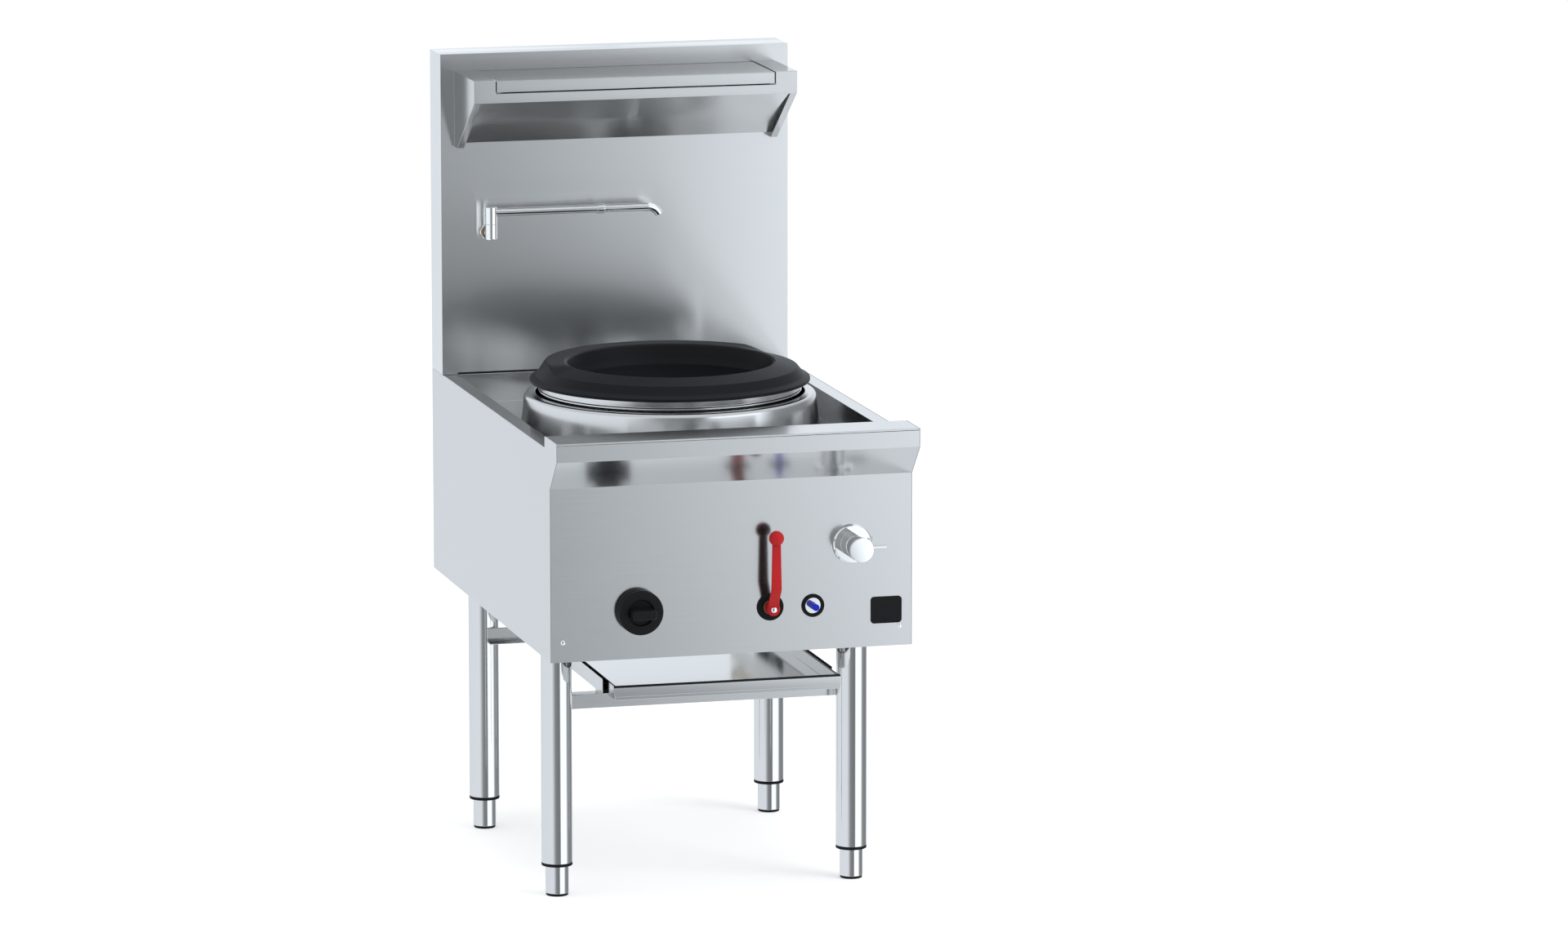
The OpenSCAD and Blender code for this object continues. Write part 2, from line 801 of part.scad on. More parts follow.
// Jets in a middle one and two rings on the burner head
module burner_jets() {
    color(brass) for (ring = jet_rings) for (i = [0 : ring[0] - 1])
        rotate([0, 0, 360 * i / ring[0]]) translate([ring[1] * burner_d / 2, 0, head_top])
            difference() {
                cylinder(h = jet_h, r1 = jet_d / 2, r2 = jet_d / 2 - 2, $fn = 24);
                translate([0, 0, jet_h / 2]) cylinder(h = jet_h, r = jet_d / 5, $fn = 24);
            }
}

// Flat bar across the leg rails that carries the burner
module burner_bracket() {
    low = rail_z + rail_h;
    reach = inner_w - bracket_short;
    color(iron) box([-reach, -bracket_w / 2, low], [reach, bracket_w / 2, low + bracket_t]);
}

// Mixing tube: a bell mouth, a level run, a bend and a riser into the burner head
module mixing_tube() {
    r = mixing_tube_d / 2;
    bore = r - tube_wall;
    riser = head_low + head_neck_h - head_roof - port_z;
    foot = rail_z + rail_h + bracket_t;
    color(iron) difference() {
        union() {
            translate([0, 0, port_z]) along_y(mouth_y, 0, r);
            translate([0, mouth_y + mouth_l, port_z]) rotate([90, 0, 0])
                cylinder(h = mouth_l, r1 = r, r2 = mouth_r);
            translate([0, 0, port_z]) sphere(r = r);
            translate([0, 0, port_z]) cylinder(h = riser, r = r);
            box([-r, -bracket_w / 4, foot], [r, bracket_w / 4, port_z]);
            translate([0, 0, head_low - tube_collar]) cylinder(h = tube_collar, r = head_neck_r);
        }
        translate([0, 0, port_z]) along_y(mouth_y - 1, 0, bore);
        translate([0, mouth_y + mouth_l, port_z]) rotate([90, 0, 0])
            cylinder(h = mouth_l + 0.1, r1 = bore, r2 = mouth_r - tube_wall);
        translate([0, 0, port_z]) sphere(r = bore);
        translate([0, 0, port_z]) cylinder(h = riser + 1, r = bore);
    }
}

// Gas injector at the end of the feed pipe
module injector() {
    half_l = injector_l / 2;
    color(brass) translate([0, 0, port_z]) union() {
        along_y(injector_y, injector_y + half_l, link_r - 1);
        translate([0, injector_y + half_l, 0]) rotate([-90, 0, 0])
            cylinder(h = half_l + injector_nose, r1 = link_r - 2, r2 = injector_tip_r);
    }
}

// Supply pipe from the rear inlet, link between the valves and feed to the injector
module gas_pipes() {
    color(brass) {
        pipe([
            [supply_x, back_y + 1, port_z], [supply_x, port_y, port_z],
            [lever_x + ball_valve_l / 2, port_y, port_z]
        ], link_r);
        translate([supply_x, 0, port_z]) along_y(back_y, back_y + inlet_out, gas_inlet_d / 2);
        pipe([
            [lever_x - ball_valve_l / 2, port_y, port_z], [knob_x + valve_w / 2, port_y, port_z]
        ], link_r);
        pipe([
            [knob_x, valve_back_y, port_z], [knob_x, feed_y, port_z],
            [0, feed_y, port_z], [0, injector_y, port_z]
        ], link_r);
    }
}

// Ball valve: a body in the pipe line and a bonnet through the panel
module ball_valve() {
    color(brass) translate([lever_x, 0, port_z]) difference() {
        union() {
            translate([-ball_valve_l / 2, port_y, 0]) rotate([0, 90, 0])
                cylinder(h = ball_valve_l, r = ball_valve_r);
            along_y(panel_back_y, port_y, bonnet_r);
            along_y(panel_y - neck_out, port_y, neck_r);
        }
        along_y(panel_y - neck_out - 1, stem_inner_y + run_gap, stem_r + run_gap);
    }
}

// Stem that the lever turns
module valve_stem() {
    color(brass) translate([lever_x, 0, lever_z]) along_y(panel_y - eye_back, stem_inner_y, stem_r);
}

// Rubber ring round the valve's neck
module lever_grommet() {
    color(black) translate([lever_x, 0, lever_z]) difference() {
        along_y(panel_y - grommet_t, panel_y, grommet_d / 2);
        along_y(panel_y - grommet_t - 1, panel_y + 1, neck_r + slip_gap);
    }
}

// Red lever: a boss on the stem, an eye, a cranked arm and a ball
module valve_lever() {
    ball_r = lever_ball_d / 2;
    color(red) translate([lever_x, panel_y, lever_z]) difference() {
        union() {
            along_y(-eye_back, -boss_back, boss_r);
            along_y(-eye_back - lever_t, -eye_back, eye_r);
            hull() {
                arm_slice(eye_r, eye_back, 0);
                arm_slice(arm_w_low / 2, eye_back, boss_r);
            }
            hull() {
                arm_slice(arm_w_low / 2, eye_back, boss_r);
                arm_slice(arm_w_low / 2, arm_out, arm_low);
            }
            hull() {
                arm_slice(arm_w_low / 2, arm_out, arm_low);
                arm_slice(arm_w_top / 2, arm_out, lever_l - arm_step);
            }
            translate([0, -arm_out - lever_t / 2, lever_l]) sphere(r = ball_r);
        }
        along_y(-eye_back, 1, stem_r + slip_gap);
    }
}

// One slice of the lever's arm: half its width, how far out it lies and how high it starts
module arm_slice(half, out, low) {
    box([-half, -out - lever_t, low], [half, -out, low + arm_step]);
}

// Domed screw that holds the lever on its stem
module lever_screw() {
    dome_r = (screw_r * screw_r + screw_h * screw_h) / (2 * screw_h);
    face_y = panel_y - eye_back - lever_t;
    color(polished) translate([lever_x, face_y, lever_z]) intersection() {
        translate([0, dome_r - screw_h, 0]) sphere(r = dome_r);
        along_y(-screw_h, 0, screw_r);
    }
}

// Burner valve behind the gas knob
module burner_valve() {
    w = valve_w / 2;
    color(brass) difference() {
        box([knob_x - w, panel_back_y, knob_z - w], [knob_x + w, valve_back_y, knob_z + w]);
        translate([knob_x, 0, knob_z]) along_y(panel_back_y - 1, plunger_end, spindle_r + run_gap);
    }
}

// Plunger that the knob pushes in to let gas to the pilot
module valve_plunger() {
    color(polished) translate([knob_x, 0, knob_z]) along_y(plunger_y, plunger_y + plunger_l, plunger_r);
}

// Spindle that turns with the gas knob
module valve_spindle() {
    color(polished) translate([knob_x, 0, knob_z])
        along_y(panel_y - knob_face + knob_recess + knob_floor, plunger_y - run_gap, spindle_r);
}

// Black ring on the panel behind the gas knob
module knob_base() {
    color(black) translate([knob_x, 0, knob_z]) difference() {
        along_y(panel_y - knob_base_t, panel_y, knob_d / 2);
        along_y(panel_y - knob_base_t - 1, panel_y + 1, spindle_r + 1);
    }
}

// Gas knob: a dial with a round recess and a grip bar
module burner_knob() {
    floor_y = -knob_face + knob_recess;
    end_r = grip_r;
    color(black) translate([knob_x, panel_y, knob_z]) difference() {
        union() {
            difference() {
                along_y(-knob_face, -knob_back, knob_d / 2);
                along_y(-knob_face - 1, floor_y, knob_recess_d / 2);
            }
            for (x = [-1, 1]) for (z = [-1, 1])
                translate([x * (grip_l / 2 - end_r), 0, z * (grip_w / 2 - end_r)])
                    along_y(-grip_out, floor_y, end_r);
            box([-grip_l / 2 + end_r, -grip_out, -grip_w / 2], [grip_l / 2 - end_r, floor_y, grip_w / 2]);
            box([-grip_l / 2, -grip_out, -grip_w / 2 + end_r], [grip_l / 2, floor_y, grip_w / 2 - end_r]);
        }
        along_y(floor_y + knob_floor - slip_gap, 0, spindle_r + slip_gap);
    }
}

// Pilot burner with its bracket on the burner head and its supply tube
module pilot_burner() {
    hood = head_top + jet_h;
    low = pilot_bracket_z - pilot_drop;
    reach = pilot_pitch + electrode_r + pilot_edge;
    tube_low = low - lead_drop;
    tube_x = knob_x - pilot_tube_side;
    tube_z = knob_z + pilot_tube_up;
    color(polished) difference() {
        union() {
            box(
                [-reach, pilot_y - pilot_bracket_w, pilot_bracket_z],
                [reach, -burner_d / 2, pilot_bracket_z + pilot_bracket_h]
            );
            translate([0, pilot_y, low]) cylinder(h = hood - low, r = pilot_r, $fn = 32);
            pipe([
                [0, pilot_y, low + 1], [0, pilot_y, tube_low], [tube_x, pilot_y, tube_low],
                [tube_x, pilot_y, tube_z], [tube_x, valve_back_y, tube_z]
            ], pilot_tube_r);
        }
        translate([0, pilot_y, hood - jet_h / 2]) cylinder(h = jet_h, r = pilot_r - pilot_wall, $fn = 32);
        bracket_hole(-pilot_pitch, probe_r);
        bracket_hole(pilot_pitch, electrode_r);
    }
}

module bracket_hole(x, radius) {
    translate([x, pilot_y, pilot_bracket_z - 1])
        cylinder(h = pilot_bracket_h + 2, r = radius + slip_gap, $fn = 32);
}

// Thermocouple beside the pilot, with its lead to the burner valve
module thermocouple() {
    low = pilot_bracket_z - lead_drop;
    lead_low = low - lead_drop;
    lead_y = pilot_y - lead_step;
    x = knob_x + probe_side;
    z = knob_z + probe_up;
    color(brass) union() {
        translate([-pilot_pitch, pilot_y, low])
            cylinder(h = head_top + jet_h - low, r = probe_r, $fn = 32);
        pipe([
            [-pilot_pitch, pilot_y, low + 1], [-pilot_pitch, pilot_y, lead_low],
            [-pilot_pitch, lead_y, lead_low], [x, lead_y, lead_low], [x, lead_y, z], [x, valve_back_y, z]
        ], lead_r);
    }
}

// Spark electrode beside the pilot, with its lead over the gas pipe to the igniter
module spark_electrode() {
    low = pilot_bracket_z - lead_drop;
    lead_low = low - lead_drop;
    over_z = port_z + 4 * link_r;
    end_y = panel_back_y + piezo_l - piezo_lead_in;
    color("white") union() {
        translate([pilot_pitch, pilot_y, low])
            cylinder(h = head_top + jet_h - low, r = electrode_r, $fn = 32);
        pipe([
            [pilot_pitch, pilot_y, low + 1], [pilot_pitch, pilot_y, lead_low],
            [piezo_x, pilot_y, lead_low], [piezo_x, pilot_y, over_z],
            [piezo_x, end_y, over_z], [piezo_x, end_y, piezo_z + piezo_body_d / 2]
        ], lead_r);
    }
}

// Igniter body with its bright bezel on the panel
module piezo_body() {
    color(polished) translate([piezo_x, 0, piezo_z]) difference() {
        union() {
            along_y(panel_y - piezo_bezel_t, panel_back_y + piezo_l, piezo_body_d / 2);
            along_y(panel_y - piezo_bezel_t, panel_y, piezo_bezel_d / 2);
        }
        along_y(
            panel_y - piezo_bezel_t - 1, panel_y + button_in + button_travel + 2, button_d / 2 + run_gap
        );
    }
}

// Black ring round the igniter
module piezo_ring() {
    color(black) translate([piezo_x, 0, piezo_z]) difference() {
        along_y(panel_y - piezo_ring_t, panel_y, piezo_ring_d / 2);
        along_y(panel_y - piezo_ring_t - 1, panel_y + 1, piezo_bezel_d / 2 + slip_gap);
    }
}

// Blue push button of the igniter
module piezo_button() {
    color(blue) translate([piezo_x, 0, piezo_z])
        along_y(panel_y - button_out, panel_y + button_in, button_d / 2);
}

// Mixer body behind the panel
module mixer_body() {
    w = mixer_body_w / 2;
    color(brass) difference() {
        box([mixer_x - w, panel_back_y, mixer_z - w], [mixer_x + w, mixer_back_y, mixer_z + w]);
        translate([mixer_x, 0, mixer_z])
            along_y(panel_back_y - 1, panel_back_y + mixer_spindle_l, mixer_spindle_r + run_gap);
    }
}

// Hot and cold water pipes from the rear inlets to the mixer
module water_inlets() {
    color(brass) for (side = [-1, 1]) translate([mixer_x + side * inlet_pitch / 2, 0, inlet_z]) union() {
        along_y(mixer_back_y, back_y + 1, water_pipe_r);
        along_y(back_y, back_y + inlet_out, water_inlet_r);
    }
}

// Round wall plate of the mixer
module mixer_plate() {
    bore = mixer_spindle_r + run_gap;
    r = mixer_plate_d / 2;
    edge = mixer_plate_edge;
    color(polished) translate([mixer_x, panel_y, mixer_z]) rotate([90, 0, 0]) rotate_extrude() polygon([
        [bore, 0], [r, 0], [r, mixer_plate_t - edge], [r - edge, mixer_plate_t], [bore, mixer_plate_t]
    ]);
}

// Mixer handle: a round barrel on its spindle with a side pin
module mixer_knob() {
    back = -mixer_plate_t - 2 * run_gap;
    color(polished) translate([mixer_x, panel_y, mixer_z]) union() {
        along_y(-mixer_out, back, mixer_knob_d / 2);
        along_y(-mixer_out, sheet_t + mixer_spindle_l - 1, mixer_spindle_r);
        translate([0, -mixer_pin_out, 0]) rotate([0, 90, 0])
            cylinder(h = mixer_pin_reach, r = mixer_pin_r, $fn = 32);
    }
}

// Water pipe from the mixer, under the well and up inside the splash to the spout
module water_pipe() {
    turn_y = mixer_back_y + water_step;
    color(brass) pipe([
        [mixer_x, mixer_back_y, mixer_z], [mixer_x, turn_y, mixer_z], [water_x, turn_y, mixer_z],
        [water_x, water_y, mixer_z], [water_x, water_y, spout_z], [spout_x, water_y, spout_z],
        [spout_x, splash_y + spout_stub_in, spout_z]
    ], water_pipe_r);
}

// Hexagon nut against the splash
module spout_nut() {
    color(polished) translate([spout_x, splash_y, spout_z]) rotate([90, 0, 0]) difference() {
        cylinder(h = nut_h, r = nut_d / 2, $fn = 6);
        translate([0, 0, -1]) cylinder(h = nut_h + 2, r = spout_stub_r + slip_gap);
    }
}

// Fixed elbow of the spout: a wall stub, a lower body and the pin that the arm swings on
module spout_elbow() {
    r = spout_body_d / 2;
    color(polished) translate([spout_x, spout_y, 0]) union() {
        translate([0, 0, spout_z]) along_y(0, spout_out + spout_stub_in, spout_stub_r);
        translate([0, 0, spout_low + spout_edge])
            cylinder(h = spout_split - spout_low - spout_edge, r = r);
        translate([0, 0, spout_low]) cylinder(h = spout_edge, r1 = r - spout_edge, r2 = r);
        translate([0, 0, spout_split - 1]) cylinder(h = spout_pin_h + 1, r = spout_pin_r);
    }
}

// Swinging arm of the spout with its upper body, collar and turned-down tip
module spout_arm() {
    r = spout_body_d / 2;
    arm_r = spout_arm_d / 2;
    low = spout_split + run_gap;
    start = (r + spout_pin_r + run_gap) / 2;
    color(polished) translate([spout_x, spout_y, 0]) union() {
        difference() {
            translate([0, 0, low]) cylinder(h = spout_top - low, r = r);
            translate([0, 0, low - 1]) cylinder(h = spout_pin_h + 2, r = spout_pin_r + run_gap);
        }
        translate([start, 0, spout_arm_z]) rotate([0, 90, 0])
            cylinder(h = spout_reach - start + 1, r = arm_r);
        translate([spout_reach - collar_back - collar_l / 2, 0, spout_arm_z]) rotate([0, 90, 0])
            cylinder(h = collar_l, r = collar_d / 2);
        translate([spout_reach, 0, spout_arm_z - spout_bend_r]) rotate([90, 0, 0])
            rotate([0, 0, 90 - outlet_angle]) rotate_extrude(angle = outlet_angle)
                translate([spout_bend_r, 0]) circle(r = arm_r + bend_swell);
    }
}

// Blank plate on the control panel
module badge_plate() {
    x = badge_w / 2 - badge_r;
    z = badge_h / 2 - badge_r;
    color(black) translate([half_w - badge_side, panel_y, badge_z]) union() {
        for (sx = [-1, 1]) for (sz = [-1, 1])
            translate([sx * x, 0, sz * z]) along_y(-badge_t, 0, badge_r);
        box([-x - badge_r, -badge_t, -z], [x + badge_r, 0, z]);
        box([-x, -badge_t, -z - badge_r], [x, 0, z + badge_r]);
    }
}

// Round-headed screws in the control panel's lower corners
module panel_screws() {
    color(polished) for (side = [-1, 1])
        translate([side * panel_screw_x, panel_y, base_z + panel_screw_up]) union() {
            along_y(-screw_head_h, 0, screw_head_d / 2);
            along_y(-screw_head_h, screw_l, screw_shank_r);
        }
}

// Four tube legs
module legs() {
    color(polished) for (p = leg_places) translate([p.x, p.y, leg_low]) difference() {
        cylinder(h = leg_top - leg_low, r = leg_r);
        translate([0, 0, -1]) cylinder(h = leg_top - leg_low + 2, r = leg_r - leg_t);
    }
}

// Black bushes in the lower ends of the legs, which take the screw feet
module leg_bushes() {
    color(black) for (p = leg_places) translate([p.x, p.y, foot_h]) difference() {
        union() {
            cylinder(h = bush_t, r = leg_r);
            cylinder(h = bush_t + bush_h, r = leg_r - leg_t - slip_gap);
        }
        translate([0, 0, -1]) cylinder(h = bush_t + bush_h + 2, r = foot_screw_d / 2 + run_gap);
    }
}

// Screw foot at one leg
module foot(place) {
    color(polished) translate([place.x, place.y, 0]) union() {
        translate([0, 0, tip_h]) cylinder(h = foot_h - tip_h, r = foot_d / 2);
        translate([0, 0, foot_h - 1]) cylinder(h = foot_screw_l + 1, r = foot_screw_d / 2);
    }
}

module foot_front_left() {
    foot(leg_places[0]);
}

module foot_front_right() {
    foot(leg_places[1]);
}

module foot_rear_left() {
    foot(leg_places[2]);
}

module foot_rear_right() {
    foot(leg_places[3]);
}

// Black tip under one foot
module foot_tip(place) {
    color(black) translate([place.x, place.y, 0]) union() {
        cylinder(h = tip_edge, r1 = foot_d / 2 - 2 * tip_edge, r2 = foot_d / 2 - tip_edge);
        translate([0, 0, tip_edge]) cylinder(h = tip_h - tip_edge, r = foot_d / 2 - tip_edge);
    }
}

module foot_tip_front_left() {
    foot_tip(leg_places[0]);
}

module foot_tip_front_right() {
    foot_tip(leg_places[1]);
}

module foot_tip_rear_left() {
    foot_tip(leg_places[2]);
}

module foot_tip_rear_right() {
    foot_tip(leg_places[3]);
}

// Angle bars across the legs; the front one has lugs under the runners
module cross_bars() {
    front_top = front_bar_top;
    rear_low = runner_low - bar_h;
    lug_in = runner_out - runner_ledge;
    color(steel) {
        box([-leg_x, front_bar_y, front_top - bar_h], [leg_x, front_bar_y + bar_t, front_top]);
        box([-leg_x, front_bar_y, front_top - bar_t], [leg_x, front_bar_y + bar_flange, front_top]);
        for (side = [0, 1]) mirror([side, 0, 0])
            box(
                [lug_in, front_bar_y, front_top - bar_t],
                [lug_in + lug_w, front_bar_y + bar_flange, runner_low]
            );
        box([-leg_x, rear_bar_y - bar_t, rear_low], [leg_x, rear_bar_y, runner_low]);
        box([-leg_x, rear_bar_y - bar_flange, rear_low], [leg_x, rear_bar_y, rear_low + bar_t]);
    }
}

// Angle runners that the drip tray slides on
module tray_runners() {
    color(steel) for (side = [0, 1]) mirror([side, 0, 0]) {
        box([runner_out - sheet_t, runner_front, runner_low], [runner_out, rear_bar_y, tray_z]);
        box(
            [runner_out - runner_ledge, runner_front, runner_low],
            [runner_out, rear_bar_y, runner_low + sheet_t]
        );
    }
}

// Drip tray: a shallow pan with a turned-over lip to pull it by
module drip_tray() {
    low = tray_z - tray_h;
    half = tray_half;
    body_y = tray_front_y + tray_lip_over;
    lip = half + tray_lip_side;
    color(steel) union() {
        difference() {
            box([-half, body_y, low], [half, tray_back_y, tray_z]);
            box(
                [-half + sheet_t, body_y + sheet_t, low + sheet_t],
                [half - sheet_t, tray_back_y - sheet_t, tray_z + 1]
            );
        }
        box([-lip, tray_front_y, tray_z - sheet_t], [lip, body_y + sheet_t, tray_z]);
        box([-lip, tray_front_y, tray_z - tray_lip_h], [lip, tray_front_y + sheet_t, tray_z]);
    }
}

side_panel_left();
side_panel_right();
front_panel();
well_deck();
back_panel();
splash_front();
leg_rails();
shelf_cheek_left();
shelf_cheek_right();
shelf_fascia();
shelf_underside();
shelf_tray();
chimney();
fire_ring();
wok_ring();
burner_head();
burner_jets();
burner_bracket();
mixing_tube();
injector();
gas_pipes();
ball_valve();
valve_stem();
lever_grommet();
valve_lever();
lever_screw();
burner_valve();
valve_plunger();
valve_spindle();
knob_base();
burner_knob();
pilot_burner();
thermocouple();
spark_electrode();
piezo_body();
piezo_ring();
piezo_button();
mixer_body();
water_inlets();
mixer_plate();
mixer_knob();
water_pipe();
spout_nut();
spout_elbow();
spout_arm();
badge_plate();
panel_screws();
legs();
leg_bushes();
foot_front_left();
foot_front_right();
foot_rear_left();
foot_rear_right();
foot_tip_front_left();
foot_tip_front_right();
foot_tip_rear_left();
foot_tip_rear_right();
cross_bars();
tray_runners();
drip_tray();
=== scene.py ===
"""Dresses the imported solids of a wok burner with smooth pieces, finishes, a stage and a camera."""

import json
import math

import bmesh
import bpy
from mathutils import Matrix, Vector

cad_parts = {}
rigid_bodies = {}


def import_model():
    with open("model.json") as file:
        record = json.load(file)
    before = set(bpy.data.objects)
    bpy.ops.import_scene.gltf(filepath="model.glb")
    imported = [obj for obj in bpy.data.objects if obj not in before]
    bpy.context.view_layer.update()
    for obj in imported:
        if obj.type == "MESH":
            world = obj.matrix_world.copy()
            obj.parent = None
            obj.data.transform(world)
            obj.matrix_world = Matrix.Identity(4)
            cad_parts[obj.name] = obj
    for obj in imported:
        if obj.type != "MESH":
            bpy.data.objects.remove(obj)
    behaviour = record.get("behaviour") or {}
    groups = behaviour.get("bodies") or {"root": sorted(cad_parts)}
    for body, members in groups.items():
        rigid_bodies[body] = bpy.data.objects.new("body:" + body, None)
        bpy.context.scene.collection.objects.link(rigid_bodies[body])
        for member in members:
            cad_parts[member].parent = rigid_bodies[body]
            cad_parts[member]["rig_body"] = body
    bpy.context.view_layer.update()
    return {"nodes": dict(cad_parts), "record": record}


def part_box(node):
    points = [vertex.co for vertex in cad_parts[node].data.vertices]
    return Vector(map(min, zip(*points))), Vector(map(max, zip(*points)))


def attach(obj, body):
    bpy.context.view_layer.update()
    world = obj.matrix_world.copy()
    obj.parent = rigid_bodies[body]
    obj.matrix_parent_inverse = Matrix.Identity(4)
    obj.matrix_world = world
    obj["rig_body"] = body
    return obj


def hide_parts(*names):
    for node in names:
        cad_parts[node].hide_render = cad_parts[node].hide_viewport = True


bl_info = {
    "name": "Wok burner",
    "version": (1, 0, 0),
    "blender": (4, 5, 0),
    "location": "3D View > Sidebar > Wok burner",
    "description": "Builds the pieces, finishes and stage of a gas wok burner on its packed solids",
    "category": "Object",
}

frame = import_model()
slots = {part["node"]: part["material_slot"] for part in frame["record"]["subparts"]}
MM = 0.001
# Tint that dims the steels where they are seen at a slant.
SLANT = (0.87, 0.87, 0.87, 1)
# Stretch of the noise that draws a sheet's grain along an axis.
ALONG_X = (1, 55, 55)
ALONG_Y = (55, 1, 55)
# Angles in degrees between two faces, over which their edge is shaded sharp or is rounded.
SHARP = 48
BEVELLED = 40
# Radius of the edges of small fittings and of pipes, in metres.
SMALL_EDGE = 0.0003
PIPE_EDGE = 0.0006


class FinishSettings(bpy.types.PropertyGroup):
    """Colours and textures of the burner's finishes."""

    steel: bpy.props.FloatVectorProperty(
        name="Sheet steel", description="Colour of the folded sheets", subtype="COLOR",
        min=0, max=1, default=(0.692, 0.692, 0.692))
    # Painted light: the sheet steel's colour made 1.17 times lighter, so the splash and the shelf's underside
    # look more brightly lit.
    satin_steel: bpy.props.FloatVectorProperty(
        name="Satin steel", description="Colour of the splash and of the shelf's underside", subtype="COLOR",
        min=0, max=1, default=(0.80964, 0.80964, 0.80964))
    bright: bpy.props.FloatVectorProperty(
        name="Polished steel", description="Colour of the legs, chimney and fire ring", subtype="COLOR",
        min=0, max=1, default=(0.74, 0.74, 0.74))
    chrome: bpy.props.FloatVectorProperty(
        name="Chrome", description="Colour of the spout, mixer and screws", subtype="COLOR",
        min=0, max=1, default=(0.96, 0.96, 0.96))
    iron: bpy.props.FloatVectorProperty(
        name="Black iron", description="Colour of the cast wok ring", subtype="COLOR",
        min=0, max=1, default=(0.0105, 0.0108, 0.0128))
    plastic: bpy.props.FloatVectorProperty(
        name="Black plastic", description="Colour of the gas knob", subtype="COLOR",
        min=0, max=1, default=(0.0095, 0.0098, 0.0104))
    lever: bpy.props.FloatVectorProperty(
        name="Red paint", description="Colour of the valve lever", subtype="COLOR",
        min=0, max=1, default=(0.5, 0.018, 0.02))
    button: bpy.props.FloatVectorProperty(
        name="Blue plastic", description="Colour of the igniter's button", subtype="COLOR",
        min=0, max=1, default=(0.009, 0.02, 0.57))
    brass: bpy.props.FloatVectorProperty(
        name="Brass", description="Colour of the jets, valves and pipes", subtype="COLOR",
        min=0, max=1, default=(0.46, 0.37, 0.22))
    sheet_gloss: bpy.props.FloatProperty(
        name="Sheet roughness", description="Roughness of the folded sheets", min=0.05, max=0.6,
        default=0.15, subtype="FACTOR")
    satin: bpy.props.FloatProperty(
        name="Satin roughness", description="Roughness of the splash and of the shelf's underside",
        min=0.02, max=0.6, default=0.17, subtype="FACTOR")
    brushing: bpy.props.FloatProperty(
        name="Satin brushing", description="How far the satin sheets spread a reflection across the grain",
        min=0, max=1, default=0.94, subtype="FACTOR")
    grain: bpy.props.FloatProperty(
        name="Grain depth", description="Depth of the sheets' brushed grain", min=0, max=0.001,
        default=0.000003, unit="LENGTH", precision=6)


class FormSettings(bpy.types.PropertyGroup):
    """Sizes of the details that the finished pieces add to the solids."""

    edge: bpy.props.FloatProperty(
        name="Sheet edge", description="Radius of the edges of the folded sheets", min=0.0001, max=0.002,
        default=0.0008, unit="LENGTH", precision=5)
    sides: bpy.props.IntProperty(
        name="Turned sides", description="Facets round a turned piece", min=24, max=256, default=96)
    guard_blend: bpy.props.FloatProperty(
        name="Guard run-out", description="Sweep over which the wok ring's high edge runs out",
        min=0.05, max=0.6, default=math.radians(15), subtype="ANGLE", unit="ROTATION")
    weld: bpy.props.FloatProperty(
        name="Weld bead", description="Width of the bead round the chimney's foot", min=0.0005, max=0.004,
        default=0.002, unit="LENGTH", precision=4)
    jet_width: bpy.props.FloatProperty(
        name="Jet radius", description="Radius of a burner jet", min=0.003, max=0.01, default=0.007,
        unit="LENGTH", precision=4)
    screw_width: bpy.props.FloatProperty(
        name="Screw radius", description="Radius of a panel screw's head", min=0.002, max=0.006,
        default=0.004, unit="LENGTH", precision=4)


class StageSettings(bpy.types.PropertyGroup):
    """Floor, lamps and camera."""

    floor: bpy.props.FloatVectorProperty(
        name="Floor", description="Colour of the floor", subtype="COLOR", min=0, max=1,
        default=(0.86, 0.865, 0.87))
    floor_glow: bpy.props.FloatProperty(
        name="Floor glow", description="Brightness that only the camera sees on the floor", min=0, max=1,
        default=0.4)
    sky: bpy.props.FloatProperty(
        name="Surrounding light", description="Strength of the light from all round", min=0, max=2,
        default=0.72)
    key: bpy.props.FloatProperty(
        name="Right lamp", description="Power of the large lamp at the right", min=0, max=500,
        default=60, unit="POWER")
    top: bpy.props.FloatProperty(
        name="Top lamp", description="Power of the large lamp overhead", min=0, max=500, default=45,
        unit="POWER")
    tint: bpy.props.FloatVectorProperty(
        name="Mirrored tint", description="Colour of the surroundings that the metal mirrors",
        subtype="COLOR", min=0, max=1, default=(0.89, 0.949, 1.0))
    panel: bpy.props.FloatProperty(
        name="Right panel", description="Brightness of the panel that the metal mirrors at the right",
        min=0, max=2, default=1.5)
    lens: bpy.props.FloatProperty(
        name="Lens", description="Focal length of the camera", min=20, max=400, default=187.33,
        unit="CAMERA")


